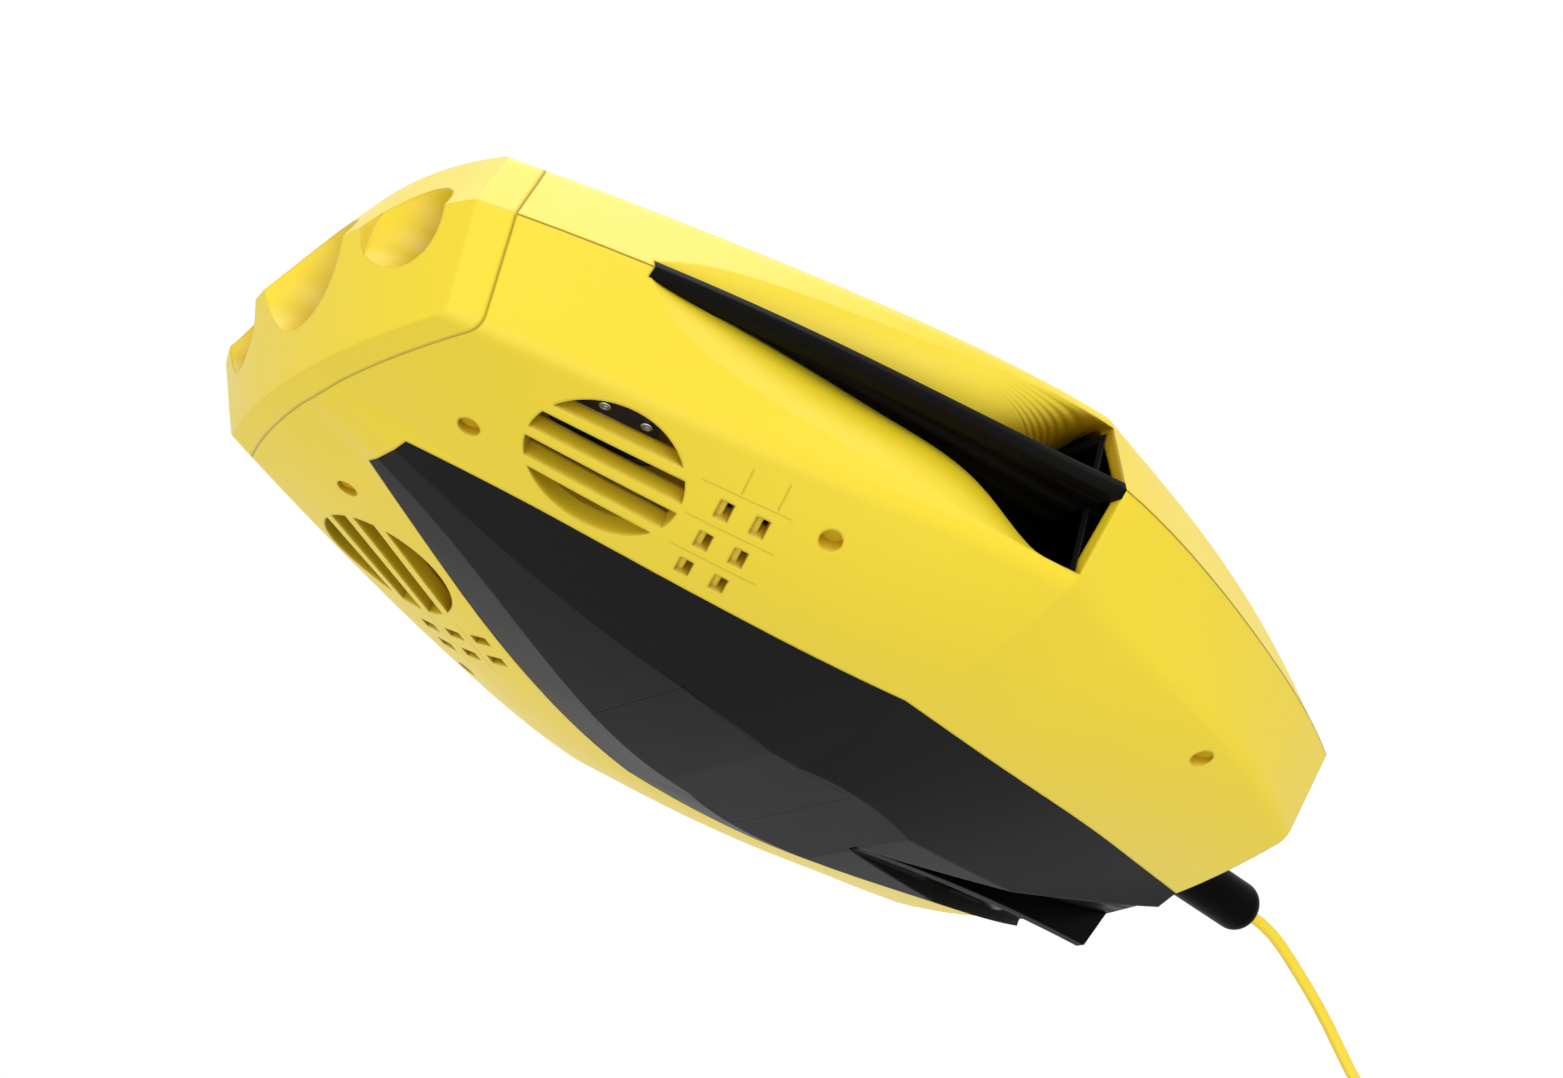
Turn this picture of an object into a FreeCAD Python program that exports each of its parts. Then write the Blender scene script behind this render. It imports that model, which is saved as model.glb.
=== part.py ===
"""Compact five-thruster underwater inspection vehicle with its tether, in millimetres.

The vehicle lies belly down. +X is its port side, the nose points to -Y, the tail
to +Y and +Z is up. The origin is under the middle of the hull, on the surface
that the belly rests on. All driving sizes are in the sheet named Sizes.
"""
import FreeCAD, Part
import math
import os
import Sketcher

V = FreeCAD.Vector
X_AXIS = V(1, 0, 0)
Y_AXIS = V(0, 1, 0)
Z_AXIS = V(0, 0, 1)
ORIGIN = V(0, 0, 0)

doc = FreeCAD.newDocument("InspectionVehicle")
sheet = doc.addObject("Spreadsheet::Sheet", "Sizes")

# ---------------------------------------------------------------------------
# Sizes. Each row is an alias, its value and what it sets.
# ---------------------------------------------------------------------------
SIZES = [
    ("hull_length", 238.8, "nose ridge to tail ridge"),
    ("hull_height", 92.0, "belly flat to top flat"),
    ("parting_z", 44.8, "height of the plane where the two shells meet"),
    ("wall", 2.4, "shell wall"),
    ("crease_round", 2.6, "tangent length of the rounding along the side creases"),
    ("nose_radius", 130.0, "plan radius of the nose ridge"),
    ("nose_bevel", 0.44, "setback of the nose faces per unit of height"),
    ("nose_cap_depth", 5.0, "nose cap thickness at its seam"),
    ("tail_point", 4.9, "how far behind the tail's flat its swept faces would meet"),
    ("tail_sweep", 0.235, "setback of the tail faces per unit of breadth"),
    ("tail_bevel", 0.22, "setback of the tail faces per unit of height"),
    ("seam_gap", 0.04, "joint between the two shells"),
    ("fit_gap", 0.1, "clearance between parts that are pushed together"),
    ("camera_bell", 16.6, "radius of the camera recess at the ridge"),
    ("camera_bell_depth", 15.0, "depth of the camera recess"),
    ("camera_throat", 8.5, "radius of the camera recess at its bottom"),
    ("lamp_bell", 11.8, "radius of a lamp recess at the ridge"),
    ("lamp_bell_depth", 12.0, "depth of a lamp recess"),
    ("lamp_throat", 5.5, "radius of a lamp recess at its bottom"),
    ("lamp_x", 32.5, "lamp recess centre from the middle"),
    ("bell_wall", 1.8, "wall of the recess bells"),
    ("panel_thick", 2.0, "belly panel thickness"),
    ("panel_front_y", -88.5, "front end of the belly panel"),
    ("scoop_floor_sag", 7.0, "depth of the scoop's floor below its chord at the rear"),
    ("fin_root", 2.0, "how far the side fin reaches into the shells"),
    ("fin_rim_width", 3.0, "width of the side fin's thick outer rim"),
    ("fin_rim_thick", 3.6, "thickness of the side fin's outer rim"),
    ("side_fin_thick", 2.4, "side fin plate"),
    ("duct_x", 41.0, "rear duct centre from the middle"),
    ("duct_radius", 13.0, "rear duct bore radius"),
    ("duct_wall", 1.6, "rear duct wall"),
    ("duct_round_y", 56.0, "where the rear duct becomes round"),
    ("guard_y", 104.0, "front face of the outlet guard in a rear duct"),
    ("guard_thick", 2.0, "outlet guard thickness along the duct"),
    ("guard_bar", 1.4, "width of the outlet guard's rim and bars"),
    ("tunnel_x", 38.9, "front vertical tunnel centre from the middle"),
    ("tunnel_y", -64.0, "front vertical tunnel centre along the hull"),
    ("tunnel_radius", 15.4, "front tunnel bore radius"),
    ("tunnel_wall", 1.6, "front tunnel wall"),
    ("slat_angle", 23.0, "slat direction from the long axis"),
    ("slat_width", 2.4, "grille slat width"),
    ("slat_pitch", 7.4, "grille slat spacing"),
    ("slat_depth", 4.0, "grille slat height"),
    ("vent_length", 4.2, "length of a vent's recess across the slats"),
    ("vent_width", 2.8, "width of a vent's recess along the slats"),
    ("vent_depth", 1.0, "depth of a vent's recess"),
    ("vent_slot", 1.3, "width of the slot through a vent's rear side"),
    ("vent_across", 8.3, "spacing of the vents across the slats"),
    ("vent_along", 7.15, "spacing of the vents along the slats"),
    ("vent_start", 21.9, "front middle vent behind the tunnel's centre"),
    ("vent_inward", 4.3, "middle vent's distance from the slats' middle line, towards the panel"),
    ("vent_lean", 0.1, "how far a row of vents leans back per unit across"),
    ("rear_tunnel_y", 80.0, "rear vertical tunnel centre along the hull"),
    ("rear_tunnel_radius", 13.0, "rear vertical tunnel bore radius"),
    ("ventral_tip_y", 42.0, "front tip of the ventral recess"),
    ("ventral_half_width", 24.0, "ventral recess half width at the tail"),
    ("ventral_floor_z", 19.4, "height of the ventral recess floor at the tail"),
    ("ventral_fin_thick", 2.4, "ventral fin plate"),
    ("ventral_fin_end_y", 113.0, "rear end of the ventral fin's lower edge"),
    ("ventral_fin_end_z", 8.8, "height of the rear end of the ventral fin's lower edge"),
    ("ventral_fin_top_y", 118.0, "rear end of the ventral fin at the recess floor"),
    ("ventral_fin_bow", 1.2, "bow of the ventral fin's lower edge"),
    ("screw_hole_r", 2.2, "shell screw hole radius"),
    ("post_radius", 3.9, "screw post radius"),
    ("front_screw_x", 22.8, "front shell screw from the middle"),
    ("front_screw_y", -84.5, "front shell screw along the hull"),
    ("mid_screw_x", 62.4, "middle shell screw from the middle"),
    ("mid_screw_y", -27.9, "middle shell screw along the hull"),
    ("rear_screw_x", 70.5, "rear shell screw from the middle"),
    ("rear_screw_y", 67.0, "rear shell screw along the hull"),
    ("panel_screw_x", 14.5, "belly panel screw from the middle"),
    ("panel_screw_y", 97.0, "belly panel screw along the hull"),
    ("panel_screw_r", 1.5, "shank radius of a belly panel screw"),
    ("panel_screw_length", 9.0, "belly panel screw length"),
    ("screw_hole_depth", 9.0, "depth of a shell screw's hole above the belly plane"),
    ("plug_recess", 1.4, "how deep a screw plug sits in its hole"),
    ("plug_thick", 2.0, "screw plug thickness"),
    ("screw_shank_r", 1.4, "shell screw shank radius"),
    ("screw_head_length", 2.4, "shell screw head length"),
    ("screw_end_z", 60.0, "upper end of the shell screws"),
    ("prop_gap", 0.9, "propeller tip clearance in its duct"),
    ("hub_radius", 5.2, "propeller hub radius"),
    ("hub_length", 9.0, "propeller hub length"),
    ("motor_radius", 6.6, "thruster motor radius"),
    ("motor_length", 11.0, "thruster motor length"),
    ("shaft_radius", 1.0, "thruster shaft radius"),
    ("shaft_gap", 0.05, "running clearance of a shaft in its bearing"),
    ("blade_thick", 1.2, "propeller blade thickness"),
    ("mount_height", 3.0, "motor mount height"),
    ("mount_rim", 1.5, "width of a motor mount's rim"),
    ("mount_arm", 2.4, "width of a motor mount's arms"),
    ("motor_gap", 0.5, "clearance between a propeller and its motor"),
    ("front_mount_z", 31.0, "underside of the front motor mounts"),
    ("rear_mount_z", 36.0, "underside of the rear motor mount"),
    ("drive_mount_y", 64.0, "front face of the horizontal motor mounts"),
    ("case_width", 40.0, "electronics case width"),
    ("case_length", 116.0, "electronics case length"),
    ("case_front_y", -66.0, "front face of the electronics case"),
    ("case_bottom_z", 24.0, "underside of the electronics case"),
    ("case_height", 34.0, "electronics case tray height"),
    ("case_lid", 3.0, "electronics case lid thickness"),
    ("case_wall", 2.0, "electronics case wall"),
    ("gasket_thick", 1.0, "thickness of the gasket under the case's lid"),
    ("case_post_radius", 3.0, "radius of the posts under the electronics case"),
    ("case_post_x", 13.0, "post under the case, from the middle"),
    ("case_post_inset", 14.0, "post under the case, from the case's end"),
    ("battery_width", 34.0, "battery pack width"),
    ("battery_length", 70.0, "battery pack length"),
    ("battery_height", 25.0, "battery pack height"),
    ("board_width", 33.0, "main board width"),
    ("board_length", 36.0, "main board length"),
    ("board_thick", 1.6, "main board thickness"),
    ("standoff_height", 6.0, "height of the main board's standoffs"),
    ("standoff_radius", 2.2, "radius of the main board's standoffs"),
    ("window_thick", 1.5, "camera window and lamp lens thickness"),
    ("camera_length", 16.0, "camera body length"),
    ("camera_pocket", 5.0, "depth of the pocket in the camera body"),
    ("camera_lens_radius", 5.5, "camera lens radius"),
    ("camera_lens_length", 4.0, "camera lens length"),
    ("lamp_length", 8.0, "lamp housing length"),
    ("lamp_pocket", 5.0, "depth of the pocket in a lamp housing"),
    ("led_board", 1.2, "thickness of a lamp's LED board"),
    ("led_radius", 2.2, "radius of the LED on its board"),
    ("led_height", 1.0, "height of the LED on its board"),
    ("tether_z", 41.3, "height of the tether's axis at the tail"),
    ("tether_radius", 1.5, "tether radius"),
    ("boot_radius", 6.3, "tether boot radius"),
    ("boot_start_y", 112.0, "front face of the tether boot"),
    ("boot_end_y", 166.4, "end of the tether boot"),
    ("boot_round", 4.4, "rounding of the tether boot's end"),
    ("socket_radius", 10.0, "tether socket radius"),
    ("socket_length", 9.0, "tether socket length"),
    ("coil_radius", 27.5, "middle radius of the stored tether coil"),
    ("coil_width", 29.0, "width of the coil's section"),
    ("coil_height", 31.0, "height of the coil's section"),
    ("coil_x", 4.6, "centre of the coil to port"),
    ("coil_y", 300.0, "centre of the coil behind the vehicle"),
    ("coil_round", 8.0, "rounding of the coil's section"),
    ("connector_radius", 7.0, "topside connector radius"),
    ("connector_length", 34.0, "topside connector length"),
]

# The table of offsets: the hull's cross sections, nose to tail. Half breadths are
# measured from the middle plane, heights from the belly.
OFFSET_NAMES = ["y", "edge", "crease_x", "crease_z", "panel_x", "panel_z", "keel_x", "keel_z", "bow",
                "crown_x", "crown_z"]
OFFSETS = [
    (-126.0, 39.5, 29.5, 27.4, 6.0, 25.0, 2.5, 24.9, 0.3, 29.5, 62.2),
    (-98.0, 55.2, 44.2, 26.3, 8.0, 22.6, 3.0, 22.0, 0.6, 44.2, 63.3),
    (-62.0, 71.0, 59.6, 25.0, 19.8, 16.6, 6.0, 12.7, 1.4, 59.6, 64.6),
    (-26.0, 82.4, 74.6, 25.0, 34.5, 11.6, 14.0, 3.9, 2.2, 74.6, 64.6),
    (10.5, 94.0, 85.4, 25.5, 45.8, 10.0, 17.0, -0.4, 2.2, 85.4, 64.1),
    (40.0, 89.4, 80.8, 25.2, 44.4, 10.2, 17.0, -0.3, 2.0, 80.6, 61.8),
    (70.0, 81.2, 75.6, 24.5, 39.8, 12.7, 13.0, 3.6, 1.4, 75.4, 56.6),
    (98.0, 71.2, 65.8, 23.7, 31.6, 16.4, 10.0, 7.6, 0.8, 68.4, 48.6),
    (126.0, 55.5, 48.0, 22.6, 24.0, 19.6, 8.0, 9.8, 0.4, 52.8, 47.6),
]
WIDEST = 4

# Stations of a side scoop, front to rear: place, inner line and half height of the mouth.
SCOOP_NAMES = ["y", "inner", "half"]
SCOOP = [
    (-80.5, 61.0, 1.8),
    (-62.0, 64.8, 12.5),
    (-36.0, 67.6, 16.2),
    (-12.0, 65.8, 17.0),
    (10.5, 58.5, 16.4),
]

row = 1
for alias, value, note in SIZES:
    sheet.set("A%d" % row, alias)
    sheet.set("B%d" % row, repr(value))
    sheet.set("C%d" % row, note)
    sheet.setAlias("B%d" % row, alias)
    row += 1
for index, offsets in enumerate(OFFSETS):
    for column, (name, value) in enumerate(zip(OFFSET_NAMES, offsets)):
        cell = "%s%d" % ("EFGHIJKLMNO"[column], index + 1)
        sheet.set(cell, repr(value))
        sheet.setAlias(cell, "section%d_%s" % (index, name))
for index, offsets in enumerate(SCOOP):
    for column, (name, value) in enumerate(zip(SCOOP_NAMES, offsets)):
        cell = "%s%d" % ("QRS"[column], index + 1)
        sheet.set(cell, repr(value))
        sheet.setAlias(cell, "scoop%d_%s" % (index, name))
doc.recompute()


def size(alias):
    """A value from the sheet."""
    return float(sheet.get(alias))


def station(index, name):
    return size("section%d_%s" % (index, name))


# ---------------------------------------------------------------------------
# Small shape helpers
# ---------------------------------------------------------------------------
def mirrored(shape):
    """The starboard copy of a port shape."""
    return shape.mirror(ORIGIN, X_AXIS)


def both_sides(shape):
    return [shape, mirrored(shape)]


def cylinder(radius, start, end):
    axis = end.sub(start)
    return Part.makeCylinder(radius, axis.Length, start, axis)


def block(low, high):
    return Part.makeBox(high.x - low.x, high.y - low.y, high.z - low.z, low)


def prism(points, z_low, z_high):
    """A vertical prism on a plan outline of (x, y) points."""
    loop = [V(x, y, z_low) for x, y in points]
    return Part.Face(Part.makePolygon(loop + [loop[0]])).extrude(V(0, 0, z_high - z_low))


def single(shape):
    """The one solid of a boolean's result."""
    solids = sorted(shape.Solids, key=lambda s: s.Volume)
    return solids[-1]


# ---------------------------------------------------------------------------
# Hull form: lofted through the table of offsets, with bevelled nose and tail
# ---------------------------------------------------------------------------
def rounded_corner(before, corner, after, reach):
    """Start, middle and end of an arc that rounds a corner."""
    one = before.sub(corner).normalize()
    two = after.sub(corner).normalize()
    bisector = one.add(two).normalize()
    cosine = one.dot(bisector)
    sine = math.sqrt(1 - cosine * cosine)
    middle = corner.add(bisector.multiply(reach * (1 - sine) / cosine))
    return corner.add(one.multiply(reach)), middle, corner.add(two.multiply(reach))


def half_section(index, wall, belly_wall):
    """Segments of the port half of a cross section, from keel to top."""
    y = station(index, "y")
    parting = size("parting_z")
    gain = (size("hull_height") - parting) / parting
    keel = V(station(index, "keel_x"), y, station(index, "keel_z") + belly_wall)
    panel = V(station(index, "panel_x"), y, station(index, "panel_z") + belly_wall)
    crease = V(station(index, "crease_x") - wall, y, station(index, "crease_z") + 0.8 * wall)
    edge = V(station(index, "edge") - 1.15 * wall, y, parting)
    bow = station(index, "bow")

    def chain(keel, panel, crease, sign):
        chord = crease.sub(panel)
        normal = V(chord.z, 0, -chord.x).normalize().multiply(sign * bow)
        bowed = panel.add(chord.multiply(0.5)).add(normal)
        reach = min(size("crease_round"), 0.45 * crease.distanceToPoint(edge))
        start, middle, end = rounded_corner(bowed, crease, edge, reach)
        along = panel.add(start).multiply(0.5).add(normal)
        return [(keel, panel), (panel, along, start), (start, middle, end), (end, edge)]

    lower = chain(keel, panel, crease, 1)
    top_keel = V(keel.x, y, parting + (parting - station(index, "keel_z")) * gain - wall)
    top_panel = V(panel.x, y, parting + (parting - station(index, "panel_z")) * gain - wall)
    top_crease = V(station(index, "crown_x") - wall, y, station(index, "crown_z") - 0.8 * wall)
    upper = chain(top_keel, top_panel, top_crease, -1)
    return lower + [tuple(reversed(segment)) for segment in reversed(upper)]


def section_wire(index, wall, belly_wall):
    def edge_of(points):
        if len(points) == 2:
            return Part.LineSegment(points[0], points[1]).toShape()
        return Part.Arc(points[0], points[1], points[2]).toShape()

    def other_side(point):
        return V(-point.x, point.y, point.z)

    port = half_section(index, wall, belly_wall)
    starboard = [tuple(other_side(p) for p in reversed(s)) for s in reversed(port)]
    top = (port[-1][-1], starboard[0][0])
    bottom = (starboard[-1][-1], port[0][0])
    return Part.Wire([edge_of(s) for s in port + [top] + starboard + [bottom]])


def double_cone(radius, slope, centre_y):
    """Two cones base to base on the parting plane."""
    reach = size("hull_height")
    parting = size("parting_z")
    small = radius - slope * reach
    up = Part.makeCone(radius, small, reach, V(0, centre_y, parting), Z_AXIS)
    down = Part.makeCone(radius, small, reach, V(0, centre_y, parting), V(0, 0, -1))
    return up.fuse(down)


def nose_cutter(setback):
    """What lies ahead of the nose faces, moved back by setback."""
    radius = size("nose_radius")
    nose_y = -size("hull_length") / 2 + setback
    reach = size("hull_height") + 20
    ahead = block(V(-reach, nose_y - 60, -30), V(reach, nose_y + 50, reach + 30))
    return ahead.cut(double_cone(radius, size("nose_bevel"), nose_y + radius))


def tail_cutter(setback):
    """What lies behind the tail's four swept faces and its flat, moved forward by setback."""
    tail_y = size("hull_length") / 2 - setback
    parting = size("parting_z")
    reach = size("hull_height") + 20
    depth = 60.0
    point = V(0, tail_y + size("tail_point"), parting)
    wide = V(depth / size("tail_sweep"), -depth, 0)
    high = V(0, -depth, depth / size("tail_bevel"))
    corners = [point.add(wide), point.add(high), point.add(V(-wide.x, wide.y, 0)),
               point.add(V(0, high.y, -high.z))]
    pairs = list(zip(corners, corners[1:] + corners[:1]))
    faces = [Part.Face(Part.makePolygon([point, a, b, point])) for a, b in pairs]
    faces.append(Part.Face(Part.makePolygon(corners + [corners[0]])))
    ahead = Part.Solid(Part.Shell(faces))
    behind = block(V(-reach, tail_y - depth / 2, -30), V(reach, tail_y + depth, reach + 30))
    far = 2 * reach
    flat = block(V(-far, tail_y, -far), V(far, tail_y + depth, far))
    return behind.cut(ahead.cut(flat))


def hull_form(wall=0.0, belly_wall=0.0, open_nose=False):
    """The closed hull form, or that form moved inwards by a wall."""
    front = [section_wire(i, wall, belly_wall) for i in range(0, WIDEST + 1)]
    rear = [section_wire(i, wall, belly_wall) for i in range(WIDEST, len(OFFSETS))]
    form = Part.makeLoft(front, True, False).fuse(Part.makeLoft(rear, True, False))
    reach = size("hull_length")
    slab = block(V(-reach, -reach, belly_wall), V(reach, reach, size("hull_height") - wall))
    form = form.common(slab)
    if not open_nose:
        form = form.cut(nose_cutter(wall))
    return single(form.cut(tail_cutter(wall)))


OUTER = hull_form()
PARTING = size("parting_z")
HALF_LENGTH = size("hull_length") / 2
GAP = size("fit_gap")


def hull_side(y, z):
    """Half breadth of the hull at a height."""
    ray = Part.makeLine(V(0, y, z), V(size("hull_length"), y, z))
    return ray.common(OUTER).BoundBox.XMax


def hull_bottom(x, y):
    ray = Part.makeLine(V(x, y, -10), V(x, y, PARTING))
    return ray.common(OUTER).BoundBox.ZMin


# ---------------------------------------------------------------------------
# Side scoops and the fins in their mouths
# ---------------------------------------------------------------------------
def scoop_section(index, wall):
    """Mouth of the scoop at one station: its inner walls run tangent into the side facets."""
    y = size("scoop%d_y" % index)
    inner = V(size("scoop%d_inner" % index) - wall, y, PARTING)
    half = size("scoop%d_half" % index)
    low_z = PARTING - half
    side = hull_side(y + 0.01, low_z)
    slope = (hull_side(y + 0.01, low_z + 1) - side)
    lip = V(side + 0.3 - wall, y, low_z - 0.5 * wall)
    chord = lip.sub(inner)
    tangent = V(-slope, 0, -1)
    turn = min(chord.getAngle(tangent), chord.getAngle(X_AXIS) - math.radians(6))
    bow = chord.Length / 2 * math.tan(turn / 2)
    if index == len(SCOOP) - 1:
        bow = -size("scoop_floor_sag")
    towards_mouth = V(-chord.z, 0, chord.x).normalize()
    middle = inner.add(lip).multiply(0.5).add(towards_mouth.multiply(bow))
    out = V(side + 20, y, lip.z)

    def above(point):
        return V(point.x, point.y, 2 * PARTING - point.z)

    edges = [
        Part.Arc(inner, middle, lip).toShape(),
        Part.LineSegment(lip, out).toShape(),
        Part.LineSegment(out, above(out)).toShape(),
        Part.LineSegment(above(out), above(lip)).toShape(),
        Part.Arc(above(lip), above(middle), inner).toShape(),
    ]
    return Part.Wire(edges)


def scoop_void(wall=0.0):
    sections = [scoop_section(i, wall) for i in range(len(SCOOP))]
    return Part.makeLoft(sections, True, False)


def fin_outline(reach):
    """Plan outline of the side fin, its root reaching inwards of the scoop's inner line."""
    points = [V(size("scoop%d_inner" % i) - reach, size("scoop%d_y" % i), 0) for i in range(len(SCOOP))]
    curve = Part.BSplineCurve()
    curve.interpolate(points)
    first, last = points[0], points[-1]
    outside = size("section%d_edge" % WIDEST) + 20
    corners = [last, V(outside, last.y, 0), V(outside, first.y, 0), first]
    lines = [Part.LineSegment(a, b).toShape() for a, b in zip(corners, corners[1:])]
    return Part.Face(Part.Wire([curve.toShape()] + lines))


def slab_of(face, half_thickness):
    low = face.copy()
    low.translate(V(0, 0, PARTING - half_thickness))
    return low.extrude(V(0, 0, 2 * half_thickness))


def side_fin():
    plate = slab_of(fin_outline(size("fin_root")), size("side_fin_thick") / 2)
    rim_zone = slab_of(fin_outline(0.0), size("fin_rim_thick") / 2)
    rim = rim_zone.cut(hull_form(size("fin_rim_width"), size("fin_rim_width")))
    return single(plate.fuse(rim).common(OUTER))


# ---------------------------------------------------------------------------
# Belly panel, ventral recess and ventral fin
# ---------------------------------------------------------------------------
def panel_prism(z_low, z_high):
    front = [V(7.0, size("panel_front_y"), z_low)]
    front += [V(station(i, "panel_x"), station(i, "y"), z_low) for i in range(2, WIDEST + 1)]
    rear = [V(station(i, "panel_x"), station(i, "y"), z_low) for i in range(WIDEST, len(OFFSETS))]

    def curve(points):
        line = Part.BSplineCurve()
        line.interpolate(points)
        return line.toShape()

    def starboard(points):
        return [V(-p.x, p.y, p.z) for p in reversed(points)]

    edges = [curve(front), curve(rear), Part.makeLine(rear[-1], starboard(rear)[0]),
             curve(starboard(rear)), curve(starboard(front)), Part.makeLine(starboard(front)[-1], front[0])]
    return Part.Face(Part.Wire(edges)).extrude(V(0, 0, z_high - z_low))


def ventral_wedge(extra, lift):
    """The recess that widens and deepens from its tip to the tail."""
    tip_y = size("ventral_tip_y")
    tail_y = HALF_LENGTH + 10
    grow = (tail_y - tip_y) / (HALF_LENGTH - tip_y)
    half = size("ventral_half_width") * grow + extra
    floor = size("ventral_floor_z") * grow + lift
    tip = size("ventral_fin_thick") / 2 + extra
    side = Part.makePolygon([V(0, tip_y - extra, -20), V(0, tip_y - extra, lift), V(0, tail_y, floor),
                             V(0, tail_y, -20), V(0, tip_y - extra, -20)])
    profile = Part.Face(side).extrude(V(2 * half, 0, 0))
    profile.translate(V(-half, 0, 0))
    plan = prism([(tip, tip_y - extra), (half, tail_y), (-half, tail_y), (-tip, tip_y - extra)], -20, floor)
    return profile.common(plan)


def ventral_floor(y):
    """Height of the recess floor."""
    tip_y = size("ventral_tip_y")
    return size("ventral_floor_z") * (y - tip_y) / (HALF_LENGTH - tip_y)


def ventral_fin():
    half = size("ventral_fin_thick") / 2
    tip_y, top_y = size("ventral_tip_y"), size("ventral_fin_top_y")
    tip = V(-half, tip_y, 0)
    end = V(-half, size("ventral_fin_end_y"), size("ventral_fin_end_z"))
    top = V(-half, top_y, ventral_floor(top_y))
    middle = tip.add(end).multiply(0.5).add(V(0, 0, size("ventral_fin_bow")))
    edges = [Part.Arc(tip, middle, end).toShape(), Part.makeLine(end, top), Part.makeLine(top, tip)]
    return Part.Face(Part.Wire(edges)).extrude(V(2 * half, 0, 0))


def belly_panel():
    thick = size("panel_thick")
    high = PARTING - 8
    skin = OUTER.common(panel_prism(-10, high)).cut(hull_form(0.0, thick))
    tray = OUTER.common(ventral_wedge(thick, thick)).common(panel_prism(-10, high))
    panel = skin.fuse(tray).cut(ventral_wedge(0.0, 0.0))
    return single(panel)


# ---------------------------------------------------------------------------
# Vertical tunnels, grilles and vents
# ---------------------------------------------------------------------------
def tunnel(radius, x, y):
    return cylinder(radius, V(x, y, -20), V(x, y, size("hull_height") + 20))


def slats(x, y, angle, radius, count):
    """Slats across a round grille, standing through the whole hull height."""
    bars = []
    for index in range(count):
        offset = (index - (count - 1) / 2.0) * size("slat_pitch")
        bar = Part.makeBox(size("slat_width"), 2 * radius + 4, size("hull_height") + 40,
                           V(offset - size("slat_width") / 2, -radius - 2, -20))
        bars.append(bar)
    comb = Part.makeCompound(bars)
    comb.rotate(ORIGIN, Z_AXIS, -angle)
    comb.translate(V(x, y, 0))
    return comb


def vents(x, y, width):
    """Two rows of upright bars behind a front grille, each level with a vent's rear edge."""
    bars = []
    for line in range(2):
        for column in (-1, 0, 1):
            lean = column * size("vent_across") * size("vent_lean")
            rear = size("vent_start") + line * size("vent_along") + lean + size("vent_width") / 2
            across = column * size("vent_across") - size("vent_inward")
            bars.append(Part.makeBox(size("vent_length"), width, size("hull_height") + 40,
                                     V(across - size("vent_length") / 2, rear - width, -20)))
    comb = Part.makeCompound(bars)
    comb.rotate(ORIGIN, Z_AXIS, -size("slat_angle"))
    comb.translate(V(x, y, 0))
    return comb


def vent_recesses():
    """The shallow recesses round the vents, in both skins."""
    bars = both_sides(vents(size("tunnel_x"), size("tunnel_y"), size("vent_width")))
    depth = size("vent_depth")
    return Part.makeCompound(bars).cut(hull_form(depth, depth, True))


# ---------------------------------------------------------------------------
# Nose cap with its three recesses
# ---------------------------------------------------------------------------
def bell(x, rim, depth, throat, wall):
    """A trumpet-shaped recess about an axis along the hull."""
    radius = size("nose_radius")
    ridge_y = -HALF_LENGTH + radius - math.sqrt(radius * radius - x * x)
    bottom = V(throat + wall, 0, -depth)
    mouth = V(rim + wall, 0, 0)
    middle = bottom.add(mouth).multiply(0.5).add(V(-0.06 * rim, 0, 0.06 * rim))
    beyond = V(rim + wall, 0, 12)
    edges = [Part.LineSegment(V(0, 0, -depth), bottom).toShape(), Part.Arc(bottom, middle, mouth).toShape(),
             Part.LineSegment(mouth, beyond).toShape(), Part.LineSegment(beyond, V(0, 0, 12)).toShape(),
             Part.LineSegment(V(0, 0, 12), V(0, 0, -depth)).toShape()]
    solid = Part.Face(Part.Wire(edges)).revolve(ORIGIN, Z_AXIS, 360)
    solid.Placement = FreeCAD.Placement(V(x, ridge_y, PARTING), FreeCAD.Rotation(Z_AXIS, V(0, -1, 0)))
    return solid


def bells(wall):
    camera = bell(0.0, size("camera_bell"), size("camera_bell_depth"), size("camera_throat"), wall)
    lamp = bell(size("lamp_x"), size("lamp_bell"), size("lamp_bell_depth"), size("lamp_throat"), wall)
    return [camera, lamp, mirrored(lamp)]


def throat_y(x, depth):
    radius = size("nose_radius")
    return -HALF_LENGTH + radius - math.sqrt(radius * radius - x * x) + depth


def nose_cap():
    slab = OUTER.common(nose_cutter(size("nose_cap_depth")))
    cups = bells(size("bell_wall"))
    cups = cups[0].multiFuse(cups[1:]).common(OUTER)
    cap = slab.fuse(cups)
    for void in bells(0.0):
        cap = cap.cut(void)
    return single(cap)


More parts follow.
